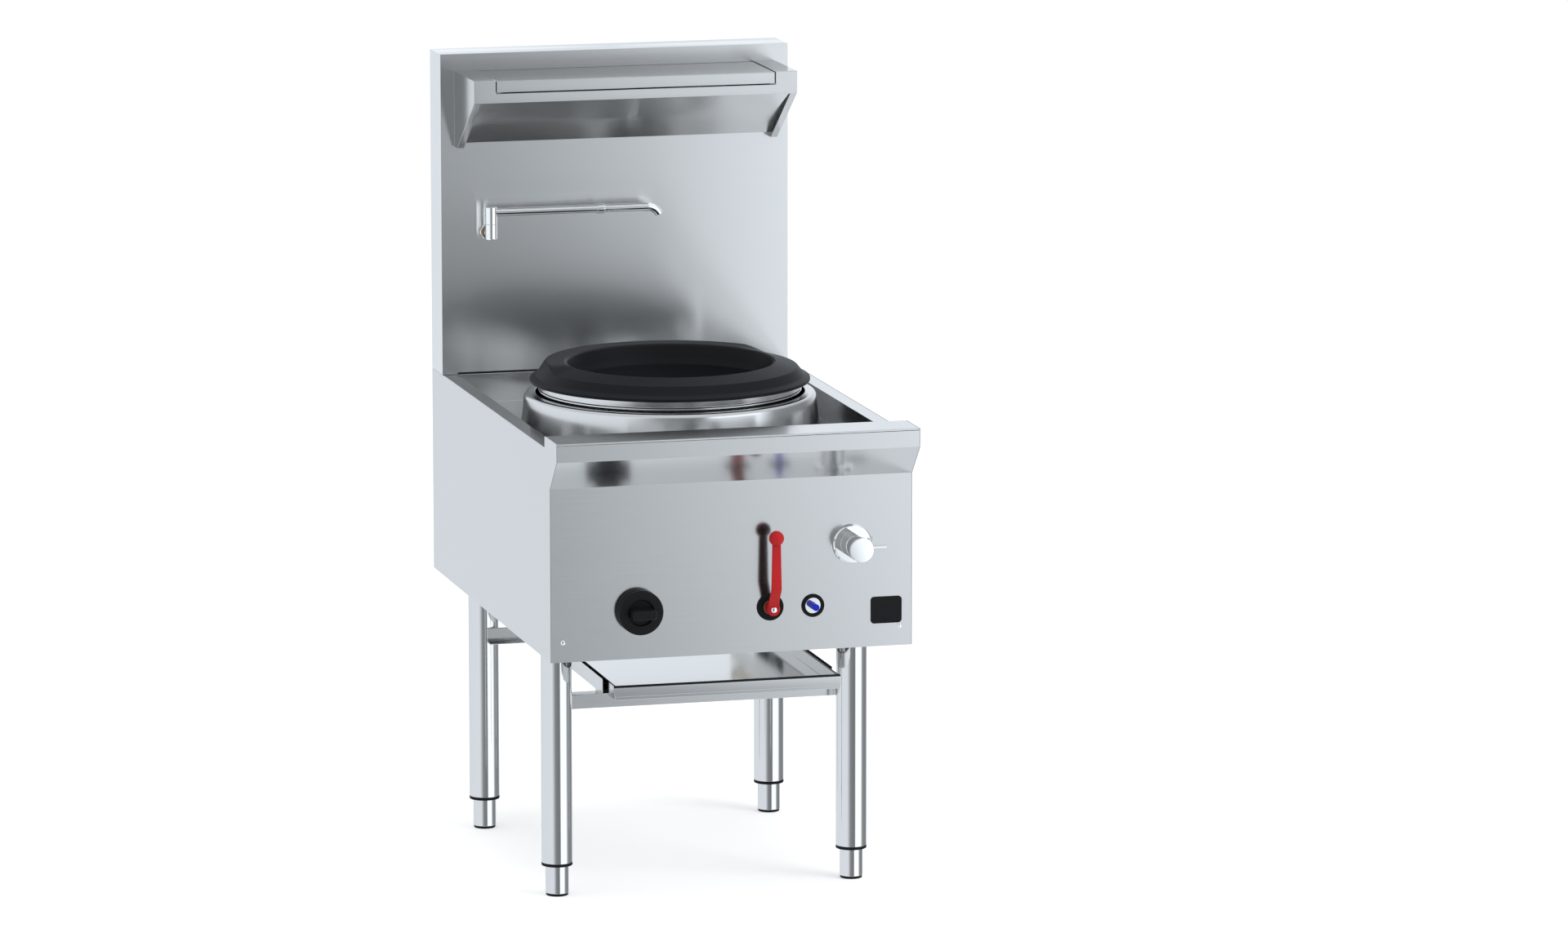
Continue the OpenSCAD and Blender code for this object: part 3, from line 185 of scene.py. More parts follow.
class Wire:
    """A shader socket with arithmetic: an expression adds the Math nodes that it needs."""

    def __init__(self, tree, socket=None):
        self.tree = tree
        self.socket = socket

    def make(self, kind, sockets=None, out=0, stops=None, **settings):
        """Add a node of a kind: its settings first, then the values or links of its sockets.

        A ramp's stops are places, from 0 to 1, with their greys.
        """
        node = self.tree.nodes.new(kind)
        for key, value in settings.items():
            setattr(node, key, value)
        if stops:
            elements = node.color_ramp.elements
            for place, _ in stops[1:-1]:
                elements.new(place)
            for element, (_, shade) in zip(elements, stops):
                element.color = (shade, shade, shade, 1)
        for key, value in (sockets or {}).items():
            self.feed(node.inputs[key], value)
        return Wire(self.tree, node.outputs[out])

    def feed(self, socket, value):
        """Give a socket a value, or link it to a wire."""
        if isinstance(value, Wire):
            self.tree.links.new(value.socket, socket)
        else:
            socket.default_value = value

    def calc(self, operation, first, second):
        """One Math node."""
        return self.make("ShaderNodeMath", {0: first, 1: second}, operation=operation)

    def __add__(self, other):
        return self.calc("ADD", self, other)

    def __sub__(self, other):
        return self.calc("SUBTRACT", self, other)

    def __rsub__(self, other):
        return self.calc("SUBTRACT", other, self)

    def __mul__(self, other):
        return self.calc("MULTIPLY", self, other)

    __radd__ = __add__
    __rmul__ = __mul__

    def axis(self, name):
        """One part, X, Y or Z, of these coordinates."""
        return self.make("ShaderNodeSeparateXYZ", {0: self}, out=name)

    def noise(self, scale, detail, stretch=(1, 1, 1)):
        """Noise on these coordinates, drawn out by a stretch."""
        spot = self.make("ShaderNodeMapping", {"Vector": self, "Scale": stretch})
        sockets = {"Vector": spot, "Scale": scale, "Detail": detail}
        return self.make("ShaderNodeTexNoise", sockets, out="Fac")

    def ramp(self, low, high):
        """0 to 1, as this value goes from low to high."""
        return self.make("ShaderNodeMapRange", {"Value": self, "From Min": low, "From Max": high})

    def between(self, low, high):
        """A colour from low to high, as this value goes from 0 to 1."""
        ends = [end if isinstance(end, Wire) else (*end, 1) for end in (low, high)]
        return self.make("ShaderNodeMix", {0: self, 6: ends[0], 7: ends[1]}, out=2, data_type="RGBA")

    def shades(self, colour, dark, light):
        """From a dark to a light shade of a colour, as this value goes from 0 to 1."""
        return self.between(shaded(colour, dark), shaded(colour, light))

    def relief(self, depth, strength=1.0):
        """A surface normal that follows this height."""
        sockets = {"Height": self, "Strength": strength, "Distance": depth}
        return self.make("ShaderNodeBump", sockets, out="Normal")


def finishes():
    return bpy.context.scene.wok_finishes


def forms():
    return bpy.context.scene.wok_forms


def staging():
    return bpy.context.scene.wok_staging


def shaded(colour, factor):
    return [min(1.0, part * factor) for part in colour]


def finish(maker, *options):
    """A finish from its maker, made once and then found by its name."""
    name = "_".join(("wok", maker.__name__, *options))
    return bpy.data.materials.get(name) or maker(name, *options)


def start_finish(name, metallic, constants=None):
    """A new finish, and the object coordinates that its texture lies on."""
    material = bpy.data.materials.new(name)
    material.use_nodes = True
    shader = material.node_tree.nodes["Principled BSDF"]
    shader.inputs["Metallic"].default_value = metallic
    for key, value in (constants or {}).items():
        shader.inputs[key].default_value = value
    return material, Wire(material.node_tree).make("ShaderNodeTexCoord", out="Object")


def wire_finish(material, links):
    """Link the inputs of a finish's shader."""
    tree = material.node_tree
    for key, value in links.items():
        value.feed(tree.nodes["Principled BSDF"].inputs[key], value)
    return material


def sheet_steel(name, grain, sheen="plain"):
    """Brushed sheet with its grain along one axis, and faint clouds from handling."""
    steel, gloss, brushed = finishes().steel, finishes().sheet_gloss, {}
    if sheen == "satin":
        # Painted light: the satin sheets take the lightened copy of the steel's colour.
        steel, gloss = finishes().satin_steel, finishes().satin
        brushed = {"Anisotropic": finishes().brushing, "Anisotropic Rotation": 0.25}
    material, spot = start_finish(name, 1.0, {"Specular Tint": SLANT, **brushed})
    streak = spot.noise(16, 4, {"x": ALONG_X, "y": ALONG_Y}[grain])
    cloud = spot.noise(3.2, 3)
    return wire_finish(material, {
        "Base Color": (streak * 0.6 + cloud * 0.4).shades(steel, 0.97, 1.03),
        "Roughness": (gloss - 0.025) + (streak * 0.03 + cloud * 0.02),
        "Normal": streak.relief(finishes().grain),
    })


def tray_steel(name):
    """Sheet of the drip tray, with a painted shadow line along its rim."""
    material, spot = start_finish(name, 1.0, {"Specular Tint": SLANT})
    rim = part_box("drip_tray")[1].z
    streak = spot.noise(16, 4, ALONG_X)
    # Painted shadow: a near-black band just under the rim's top edge, where the lip's shade falls.
    line = (spot.axis("Z") + (streak - 0.5) * 0.0006).ramp(rim - 0.0032, rim - 0.0026)
    return wire_finish(material, {
        "Base Color": line.between(finishes().steel, (0.03, 0.03, 0.032)),
        "Roughness": (finishes().sheet_gloss - 0.06) + streak * 0.04,
    })


def polished_steel(name, sheen="bright"):
    """Polished tube and drum with faint turning lines; soot blackens the inside of the drum."""
    material, spot = start_finish(name, 1.0, {"Specular Tint": SLANT})
    line = spot.noise(30, 3, (0.3, 0.3, 22))
    cloud = spot.noise(5, 3)
    steel = cloud.shades(finishes().bright, 0.97, 1.03)
    gloss = {"bright": 0.08, "drum": 0.16}[sheen]
    if sheen == "drum":
        facing = spot.make("ShaderNodeTexCoord", out="Normal")
        outward = spot.make(
            "ShaderNodeVectorMath", {0: facing, 1: spot}, out="Value", operation="DOT_PRODUCT")
        steel = outward.ramp(0.05, -0.05).between(steel, (0.02, 0.019, 0.018))
    return wire_finish(material, {
        "Base Color": steel, "Roughness": gloss + (line * 0.03 + cloud * 0.02),
    })


def chrome_plate(name):
    """Bright chrome with faint water marks."""
    material, spot = start_finish(name, 1.0)
    mark = spot.noise(70, 4)
    return wire_finish(material, {
        "Base Color": mark.shades(finishes().chrome, 0.97, 1.03),
        "Roughness": 0.04 + mark * 0.06,
    })


def black_iron(name):
    """Satin black casting with a fine sand texture, painted lighter low down in the throat to lift the shade
    there.
    """
    material, spot = start_finish(name, 0.0, {"Specular IOR Level": 0.09})
    colour = finishes().iron
    sand = spot.noise(900, 4)
    cloud = spot.noise(9, 4)
    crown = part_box("wok_ring")[1].z
    # Painted light: below the crown the colour turns lighter, standing in for light inside the ring's throat.
    painted_throat_light = spot.axis("Z").ramp(crown - 0.02, crown - 0.06)
    black = (sand * 0.4 + cloud * 0.6).shades(colour, 0.8, 1.2)
    return wire_finish(material, {
        "Base Color": painted_throat_light.between(black, shaded(colour, 2.2)),
        "Roughness": 0.36 + (sand * 0.08 + cloud * 0.12),
        "Normal": (sand * 0.7 + cloud * 0.3).relief(0.00006, 0.5),
    })


def raw_iron(name):
    """Grey casting with a coarse sand texture and brown heat stains."""
    material, spot = start_finish(name, 0.55)
    sand = spot.noise(420, 5)
    stain = spot.noise(14, 4)
    return wire_finish(material, {
        "Base Color": (sand * 0.4 + stain * 0.6).between((0.05, 0.045, 0.042), (0.2, 0.185, 0.175)),
        "Roughness": 0.5 + sand * 0.3,
        "Normal": sand.relief(0.0002, 0.6),
    })


def plain_brass(name):
    """Machined brass with dull patches."""
    material, spot = start_finish(name, 1.0)
    patch = spot.noise(26, 4)
    turned = spot.noise(40, 3, (1, 12, 1))
    return wire_finish(material, {
        "Base Color": patch.shades(finishes().brass, 0.62, 1.1),
        "Roughness": 0.18 + (patch * 0.2 + turned * 0.08),
    })


def black_plastic(name):
    """Moulded black plastic with a fine spark-eroded texture."""
    material, spot = start_finish(name, 0.0, {"Specular IOR Level": 0.12})
    pore = spot.noise(2200, 2)
    cloud = spot.noise(40, 3)
    return wire_finish(material, {
        "Base Color": cloud.shades(finishes().plastic, 0.8, 1.25),
        "Roughness": 0.34 + (pore * 0.08 + cloud * 0.06),
        "Normal": pore.relief(0.00002, 0.5),
    })


def black_rubber(name):
    """Matt rubber with a soft bloom."""
    material, spot = start_finish(name, 0.0, {"Specular IOR Level": 0.12})
    bloom = spot.noise(180, 4)
    return wire_finish(material, {
        "Base Color": bloom.between((0.005, 0.005, 0.0055), (0.013, 0.013, 0.014)),
        "Roughness": 0.4 + bloom * 0.25,
    })


def red_paint(name):
    """Red paint with a faint orange-peel surface, and painted shade that darkens the side that faces the
    panel.
    """
    constants = {"Coat Weight": 0.06, "Coat Roughness": 0.1, "Specular IOR Level": 0.12}
    material, spot = start_finish(name, 0.0, constants)
    colour = finishes().lever
    peel = spot.noise(520, 2)
    cloud = spot.noise(30, 3)
    # Painted shade: faces turned towards the panel get a near-black red, so the lever's reflection in the
    # panel reads dark.
    painted_back_shade = spot.make("ShaderNodeTexCoord", out="Normal").axis("Y").ramp(-0.1, 0.4)
    front = cloud.shades(colour, 0.9, 1.08)
    return wire_finish(material, {
        "Base Color": painted_back_shade.between(front, shaded(colour, 0.06)),
        "Roughness": 0.28 + cloud * 0.1,
        "Normal": peel.relief(0.00003, 0.35),
    })


def blue_plastic(name):
    """Glossy blue moulded plastic."""
    material, spot = start_finish(name, 0.0, {"Specular IOR Level": 0.15})
    cloud = spot.noise(220, 3)
    return wire_finish(material, {
        "Base Color": cloud.shades(finishes().button, 0.85, 1.12),
        "Roughness": 0.2 + cloud * 0.12,
    })


def white_ceramic(name):
    """Glazed white ceramic with faint specks."""
    material, spot = start_finish(name, 0.0)
    speck = spot.noise(700, 2)
    return wire_finish(material, {
        "Base Color": speck.between((0.72, 0.71, 0.68), (0.86, 0.86, 0.84)),
        "Roughness": 0.18 + speck * 0.15,
    })


def slot_finish(node):
    """The finish of a node's material slot."""
    makers = {"raw_iron": raw_iron, "brass": plain_brass, "white_ceramic": white_ceramic}
    return finish(makers[slots[node]])


def settled(piece):
    """The plain mesh that a piece's modifiers make."""
    graph = bpy.context.evaluated_depsgraph_get()
    return bpy.data.meshes.new_from_object(piece.evaluated_get(graph))


def add_object(name, data):
    """A new object at the origin, from a mesh, lamp or camera."""
    added = bpy.data.objects.new(name, data)
    bpy.context.scene.collection.objects.link(added)
    return added


def join(name, shells):
    """One mesh of shells of vertices and faces, with its faces turned outwards."""
    verts, faces = [], []
    for points, polygons in shells:
        start = len(verts)
        verts += [tuple(point) for point in points]
        faces += [[start + i for i in polygon] for polygon in polygons]
    mesh = bpy.data.meshes.new(name)
    mesh.from_pydata(verts, [], faces)
    work = bmesh.new()
    work.from_mesh(mesh)
    bmesh.ops.recalc_face_normals(work, faces=work.faces)
    work.to_mesh(mesh)
    work.free()
    return mesh


def finish_piece(name, mesh, material, node, stands_for=True, sharp=SHARP):
    """Shade a mesh, put it on its node's body and let it stand for the node."""
    piece = add_object(name, mesh)
    mesh.shade_smooth()
    mesh.set_sharp_from_angle(angle=math.radians(sharp))
    mesh.materials.clear()
    mesh.materials.append(material)
    weighted = piece.modifiers.new("weighted", "WEIGHTED_NORMAL")
    weighted.weight = 100
    weighted.keep_sharp = True
    shaded_mesh = settled(piece)
    piece.modifiers.clear()
    piece.data = shaded_mesh
    shaded_mesh.name = name
    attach(piece, frame["nodes"][node]["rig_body"])
    if stands_for:
        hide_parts(node)


def build(name, shells, material, node, **options):
    """A piece from shells of vertices and faces, on the body of a node."""
    finish_piece(name, join(name, shells), material, node, **options)


def turn(name, outline, radii, steps, centre, axis, material, node, sides=None, **options):
    """A piece turned from one outline with rounded corners."""
    build(name, [lathe(fillet(outline, radii, steps), centre, axis, sides)], material, node, **options)


def on_panel(node):
    """The centre of a round node where it meets the panel, and its radius in millimetres."""
    low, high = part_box(node)
    return ((low.x + high.x) / 2, high.y, (low.z + high.z) / 2), (high.x - low.x) / 2 / MM


def upright(node):
    """The radius, foot and top, in millimetres, of a node round the upright axis."""
    low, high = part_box(node)
    return high.x / MM, low.z / MM, high.z / MM


def dress(node, material, edge=None):
    """A clean copy of a node with small round edges, which then stands for it."""
    work = bmesh.new()
    work.from_mesh(frame["nodes"][node].data)
    bmesh.ops.remove_doubles(work, verts=work.verts, dist=2e-6)
    bmesh.ops.dissolve_limit(
        work, angle_limit=math.radians(0.2), verts=work.verts[:], edges=work.edges[:])
    limit = math.radians(BEVELLED)
    corners = [e for e in work.edges if len(e.link_faces) == 2 and e.calc_face_angle() > limit]
    bmesh.ops.bevel(
        work, geom=corners, offset=edge or forms().edge, offset_type="OFFSET", segments=2, profile=0.5,
        affect="EDGES", clamp_overlap=True)
    mesh = bpy.data.meshes.new(node + "_dressed")
    work.to_mesh(mesh)
    work.free()
    finish_piece(node + "_dressed", mesh, material, node)


def fillet(outline, radii, steps):
    """An outline with its corners rounded by the given radii."""
    result = []
    for i, (corner, radius) in enumerate(zip(outline, radii)):
        if radius <= 0:
            result.append(tuple(corner))
            continue
        here = Vector(corner)
        before = Vector(outline[i - 1]) - here
        after = Vector(outline[(i + 1) % len(outline)]) - here
        reach = radius / math.tan(before.angle(after) / 2)
        reach = min(reach, 0.45 * before.length, 0.45 * after.length)
        first = here + before.normalized() * reach
        last = here + after.normalized() * reach
        for k in range(steps + 1):
            t = k / steps
            point = first * (1 - t) ** 2 + here * (2 * t * (1 - t)) + last * t ** 2
            result.append(tuple(point))
    return result


def lathe(outline, centre, axis="z", sides=None):
    """An outline of radius and height in millimetres, turned round a centre.

    The axis is upright, along x, or along y and out of the panel.
    """
    sides = sides or forms().sides
    verts, rings = [], []
    for radius, height in outline:
        ring = []
        for i in range(1 if radius < 1e-6 else sides):
            angle = 2 * math.pi * i / sides
            across = radius * MM * math.cos(angle)
            along = radius * MM * math.sin(angle)
            up = height * MM
            way = {"z": (across, along, up), "x": (up, across, along), "y": (across, -up, along)}[axis]
            ring.append(len(verts))
            verts.append(Vector(centre) + Vector(way))
        rings.append(ring)
    faces = []
    for a, b in zip(rings, rings[1:] + rings[:1]):
        for i in range(sides):
            j = (i + 1) % sides
            quad = [a[i % len(a)], a[j % len(a)], b[j % len(b)], b[i % len(b)]]
            quad = list(dict.fromkeys(quad))
            if len(quad) > 2:
                faces.append(quad)
    return verts, faces


def unit_lathe(outline, sides=None):
    """An outline of unit size, turned round an upright axis."""
    points, faces = lathe(outline, (0, 0, 0), sides=sides)
    return [point / MM for point in points], faces


def skin(loops, ring=False):
    """A skin over a row of loops with equal counts, capped at its ends or joined into a ring."""
    count = len(loops[0])
    verts = [point for loop in loops for point in loop]
    faces = []
    for i in range(len(loops) if ring else len(loops) - 1):
        n = (i + 1) % len(loops)
        for j in range(count):
            k = (j + 1) % count
            faces.append([i * count + j, i * count + k, n * count + k, n * count + j])
    if not ring:
        faces.append(list(range(count))[::-1])
        faces.append([(len(loops) - 1) * count + j for j in range(count)])
    return verts, faces


def rounded_loop(half_w, half_h, radius, steps):
    """Points round a rectangle with round corners."""
    loop = []
    for sx, sy, start in ((1, 1, 0), (-1, 1, 90), (-1, -1, 180), (1, -1, 270)):
        for i in range(steps + 1):
            angle = math.radians(start + 90 * i / steps)
            x = sx * (half_w - radius) + radius * math.cos(angle)
            y = sy * (half_h - radius) + radius * math.sin(angle)
            loop.append((x, y))
    return loop


def layers(centre, rings):
    """A skin over loops in millimetres, each with its distance out of the panel."""
    x, panel, z = centre
    return skin([[(x + u * MM, panel - out * MM, z + v * MM) for u, v in loop] for out, loop in rings])


def sweep(stations, side, sides=40):
    """A skin over round sections, each a centre, a direction and a radius in metres."""
    loops = []
    across = Vector(side)
    for centre, direction, radius in stations:
        up = Vector(direction).normalized().cross(across)
        loops.append([
            Vector(centre) + (across * math.cos(angle) + up * math.sin(angle)) * radius
            for angle in (2 * math.pi * i / sides for i in range(sides))
        ])
    return skin(loops)


def repeat_tree():
    """Geometry nodes that set one piece on every point, at a given width and height."""
    name = "Piece on every point"
    if name in bpy.data.node_groups:
        return bpy.data.node_groups[name]
    tree = bpy.data.node_groups.new(name, "GeometryNodeTree")
    sockets = tree.interface
    sockets.new_socket("Geometry", in_out="INPUT", socket_type="NodeSocketGeometry")
    sockets.new_socket("Piece", in_out="INPUT", socket_type="NodeSocketObject")
    for label in ("Width", "Height"):
        size = sockets.new_socket(label, in_out="INPUT", socket_type="NodeSocketFloat")
        size.subtype = "DISTANCE"
        size.default_value = 0.01
    sockets.new_socket("Finish", in_out="INPUT", socket_type="NodeSocketMaterial")
    sockets.new_socket("Geometry", in_out="OUTPUT", socket_type="NodeSocketGeometry")
    start = Wire(tree).make("NodeGroupInput")
    given = {socket.name: Wire(tree, socket) for socket in start.socket.node.outputs}
    shape = start.make("GeometryNodeObjectInfo", {"Object": given["Piece"]}, out="Geometry")
    size = start.make("ShaderNodeCombineXYZ", {
        "X": given["Width"], "Y": given["Width"], "Z": given["Height"]})
    spread = start.make("GeometryNodeInstanceOnPoints", {
        "Points": given["Geometry"], "Instance": shape, "Scale": size})
    solid = start.make("GeometryNodeRealizeInstances", {"Geometry": spread})
    finished = start.make("GeometryNodeSetMaterial", {"Geometry": solid, "Material": given["Finish"]})
    end = tree.nodes.new("NodeGroupOutput")
    tree.links.new(finished.socket, end.inputs["Geometry"])
    return tree


def repeat(name, shells, places, width, height, material, node):
    """Shells, drawn at unit width and height, on every place, as one piece that stands for a node."""
    shape = add_object(name + "_shape", join(name + "_shape", shells))
    points = bpy.data.meshes.new(name)
    points.from_pydata([tuple(spot) for spot in places], [], [])
    piece = add_object(name + "_points", points)
    tree = repeat_tree()
    modifier = piece.modifiers.new("repeat", "NODES")
    modifier.node_group = tree
    values = {"Piece": shape, "Width": width, "Height": height, "Finish": material}
    for item in tree.interface.items_tree:
        if item.in_out == "INPUT" and item.name in values:
            modifier[item.identifier] = values[item.name]
    bpy.context.view_layer.update()
    mesh = settled(piece)
    bpy.data.objects.remove(piece)
    bpy.data.objects.remove(shape)
    if not mesh.polygons:
        raise RuntimeError(name + " came out empty")
    finish_piece(name, mesh, material, node)


class WOK_OT_cabinet_sheets(bpy.types.Operator):
    """Dress the cabinet's folded sheets"""

    bl_idname = "wok_burner.cabinet_sheets"
    bl_label = "Cabinet sheets"

    def execute(self, context):
        for node in ("front_panel", "well_deck", "back_panel"):
            dress(node, finish(sheet_steel, "x"))
        dress("splash_front", finish(sheet_steel, "x", "satin"))
        for node in ("side_panel_left", "side_panel_right", "leg_rails"):
            dress(node, finish(sheet_steel, "y"))
        return {"FINISHED"}


class WOK_OT_shelf(bpy.types.Operator):
    """Dress the shelf's cheeks, fascia, underside and lift-out tray"""

    bl_idname = "wok_burner.shelf"
    bl_label = "Shelf"

    def execute(self, context):
        for node in ("shelf_fascia", "shelf_tray"):
            dress(node, finish(sheet_steel, "x"))
        dress("shelf_underside", finish(sheet_steel, "x", "satin"))
        for node in ("shelf_cheek_left", "shelf_cheek_right"):
            dress(node, finish(sheet_steel, "y"))
        return {"FINISHED"}


class WOK_OT_chimney(bpy.types.Operator):
    """Turn the chimney with its weld bead and the fire ring with its round bead"""

    bl_idname = "wok_burner.chimney"
    bl_label = "Chimney and fire ring"

    def execute(self, context):
        drum = finish(polished_steel, "drum")
        base, floor, top = upright("chimney")
        outer = base - 8
        mouth = outer - 18
        wall = 1.5
        bead = forms().weld / MM
        turn("chimney_drum", [
            (base + bead, floor), (base - 0.2, floor + bead), (outer, top), (mouth, top), (mouth, top - 8),
            (mouth + wall, top - 8), (mouth + wall, top - wall), (outer - wall, top - wall),
            (base - wall, floor),
        ], [0, 0.8, 14, 1.2, 0, 0, 0.5, 12.5, 0], 10, (0, 0, 0), "z", drum, "chimney", 2 * forms().sides)
        bead_r, foot, seat = upright("fire_ring")
        r = bead_r - 2.5
        bead_z = top + 2
        turn("fire_ring_turned", [
            (r, floor), (r, bead_z - 1), (bead_r, bead_z), (bead_r, bead_z + 3), (r, bead_z + 4),
            (r, seat), (r - 3, seat), (r - 3, floor + 3), (r - 14, floor + 3), (r - 14, foot),
            (r - 11, foot), (r - 11, floor),
        ], [0.5, 1, 1.3, 1.3, 1, 1, 1, 1, 1, 0.5, 0.5, 0], 4, (0, 0, 0), "z", drum, "fire_ring",
            2 * forms().sides)
        return {"FINISHED"}


class WOK_OT_wok_ring(bpy.types.Operator):
    """Cast the wok ring, whose outer edge runs up into a high guard round the rear"""

    bl_idname = "wok_burner.wok_ring"
    bl_label = "Wok ring"

    def execute(self, context):
        r, foot, _ = upright("wok_ring")
        drop = 28
        seat = foot + drop
        throat = r - 70.5
        skirt = r - 21.5
        plain = [
            (throat, -drop), (throat + 8, -drop), (skirt, -10), (skirt, 0), (r, 0), (r, 5), (r - 9.5, 9.5),
            (r - 20.6, 22.8), (r - 57.5, 32), (r - 61, 30), (throat, 0),
        ]
        guard = list(plain)
        guard[7] = (r - 25.4, 33)
        guard[8] = (r - 56.5, 32)
        radii = [1.5, 1.5, 1, 1, 1.6, 1.8, 5, 4.5, 5, 3, 8]
        sides = 288
        loops = []
        middle, half = math.radians(109.5), math.radians(155 / 2)
        blend = forms().guard_blend
        for i in range(sides):
            angle = 2 * math.pi * i / sides
            away = abs((angle - middle + math.pi) % (2 * math.pi) - math.pi)
            lift = min(1.0, max(0.0, (half + blend / 2 - away) / blend))
            lift = lift * lift * (3 - 2 * lift)
            outline = [
                (a[0] * (1 - lift) + b[0] * lift, a[1] * (1 - lift) + b[1] * lift)
                for a, b in zip(plain, guard)
            ]
            loops.append([
                (x * MM * math.cos(angle), x * MM * math.sin(angle), (seat + z) * MM)
                for x, z in fillet(outline, radii, 5)
            ])
        build("wok_ring_cast", [skin(loops, ring=True)], finish(black_iron), "wok_ring")
        return {"FINISHED"}


class WOK_OT_gas_knob(bpy.types.Operator):
    """Mould the gas knob with its recess and grip, and the ring behind it"""

    bl_idname = "wok_burner.gas_knob"
    bl_label = "Gas knob"

    def execute(self, context):
        plastic = finish(black_plastic)
        centre, r = on_panel("knob_base")
        turn("knob_ring", [(6, 0), (r, 0), (r, 6), (6, 6)], [0, 0.4, 1.2, 0], 4, centre, "y", plastic,
             "knob_base")
        dial = fillet([
            (5.1, 10.3), (r, 10.3), (r, 18), (21.4, 18), (20.6, 13), (5.1, 13),
        ], [0, 0.6, 1.6, 0.9, 1.2, 0], 5)
        grip = [(out, rounded_loop(20 - inset, 8 - inset, max(5 - inset, 1.6), 6)) for out, inset in (
            (12.8, -0.6), (13.4, -0.2), (14.5, 0), (39.5, 0.25), (41.2, 0.7), (42.3, 1.6), (43, 3.2),
        )]
        build("knob_dial", [lathe(dial, centre, "y"), layers(centre, grip)], plastic, "burner_knob")
        dress("valve_spindle", finish(chrome_plate), SMALL_EDGE)
        dress("valve_plunger", finish(chrome_plate), SMALL_EDGE)
        return {"FINISHED"}


class WOK_OT_valve_lever(bpy.types.Operator):
    """Forge the red lever with its boss, eye, cranked arm and ball, its screw and the rubber ring"""

    bl_idname = "wok_burner.valve_lever"
    bl_label = "Valve lever"

    def execute(self, context):
        centre, r = on_panel("lever_grommet")
        x, panel, z = centre
        turn("lever_ring", [(11.6, 0), (r, 0), (r, 3), (11.6, 3)], [0, 0.3, 1.4, 0.6], 4, centre, "y",
             finish(black_rubber), "lever_grommet")
        boss = fillet([(6.1, 5), (11, 5), (11, 21.6), (6.1, 21.6)], [0, 0.8, 0, 0], 3)
        eye = fillet([(0, 21.5), (9.7, 21.5), (9.7, 25), (0, 25)], [0, 0.6, 0.9, 0], 4)
        reach = 119
        stand_off = 40.25
        path = [
            (0, 23.25, 9.2), (5, 23.25, 9.2), (9, 23.3, 8.9), (12, 23.9, 8.6), (15, 25.6, 8.5),
            (22, 30.9, 8.5), (29, 36.1, 8.5), (33, 38.7, 8.5), (36, 39.8, 8.5), (40, stand_off, 8.45),
            (60, stand_off, 8.0), (90, stand_off, 7.4), (reach, stand_off, 6.75),
        ]
        loops = []
        for i, (up, out, half) in enumerate(path):
            a = path[max(0, i - 1)]
            b = path[min(len(path) - 1, i + 1)]
            run = Vector((b[0] - a[0], b[1] - a[1])).normalized()
            loops.append([
                (x + u * MM, panel - (out + v * run.x) * MM, z + (up - v * run.y) * MM)
                for u, v in rounded_loop(half, 1.75, 1.1, 4)
            ])
        ball_r = 12.3
        ball = [
            (ball_r * math.sin(math.pi * i / 24), -ball_r * math.cos(math.pi * i / 24)) for i in range(25)
        ]
        top = (x, panel - stand_off * MM, z + reach * MM)
        shells = [
            lathe(boss, centre, "y"), lathe(eye, centre, "y"), skin(loops),
            lathe(ball, top, "z", 48),
        ]
        for up, half in ((38, 8.3), (50, 8.0)):
            rib = []
            for k in range(9):
                angle = math.pi * k / 8
                rib.append((up - 0.8 * math.cos(angle), 42.0 + 0.3 * math.sin(angle)))
            rib += [(up + 0.8, 41.2), (up - 0.8, 41.2)]
            shells.append(skin([
                [(x + side * half * MM, panel - out * MM, z + height * MM) for height, out in rib]
                for side in (-1, 1)
            ]))
        build("lever_forged", shells, finish(red_paint), "valve_lever")
        turn("lever_screw_head", [(0, 25), (5, 25), (5, 26.6), (3.6, 28.4), (0, 29)], [0, 0, 0.6, 1.6, 0], 5,
             centre, "y", finish(chrome_plate), "lever_screw")
        dress("valve_stem", finish(plain_brass), SMALL_EDGE)
        return {"FINISHED"}


class WOK_OT_igniter(bpy.types.Operator):
    """Make the igniter's black ring, bright bezel and blue button"""

    bl_idname = "wok_burner.igniter"
    bl_label = "Igniter"

    def execute(self, context):
        centre, r = on_panel("piezo_ring")
        turn("igniter_ring", [(12.8, 0), (r, 0), (r, 3), (12.8, 3)], [0, 0.4, 1.3, 1.0], 5, centre, "y",
             finish(black_rubber), "piezo_ring")
        deep = (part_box("piezo_body")[1].y - centre[1]) / MM
        turn("igniter_bezel", [
            (5.8, 1.2), (5.8, -22), (0, -22), (0, -deep), (10, -deep), (10, -0.2), (12.7, -0.2), (12.7, 1.2),
        ], [0, 0, 0, 0, 0.6, 0, 0, 0], 4, centre, "y", finish(chrome_plate), "piezo_body")
        turn("igniter_button", [(0, -15), (5.5, -15), (5.5, 22), (0, 22)], [0, 0.4, 0.9, 0], 5, centre, "y",
             finish(blue_plastic), "piezo_button", 64)
        return {"FINISHED"}


class WOK_OT_mixer(bpy.types.Operator):
    """Turn the mixer's wall plate, barrel and side pin"""

    bl_idname = "wok_burner.mixer"
    bl_label = "Mixer"

    def execute(self, context):
        chrome = finish(chrome_plate)
        centre, r = on_panel("mixer_plate")
        turn("mixer_rose", [(10.3, 0), (r, 0), (r, 4), (r - 2, 6), (10.3, 6)], [0, 0.3, 1.8, 1.8, 0], 5,
             centre, "y", chrome, "mixer_plate")
        barrel = fillet([
            (0, -18.5), (10, -18.5), (10, 6.6), (20, 6.6), (20, 61), (0, 61),
        ], [0, 0.5, 0, 0.5, 1.4, 0], 5)
        pin = fillet([(0, 18), (3, 18), (3, 46), (0, 46)], [0, 0, 0.7, 0], 4)
        pin_at = (centre[0], centre[1] - 40 * MM, centre[2])
        build("mixer_barrel", [lathe(barrel, centre, "y"), lathe(pin, pin_at, "x", 40)], chrome, "mixer_knob")
        return {"FINISHED"}


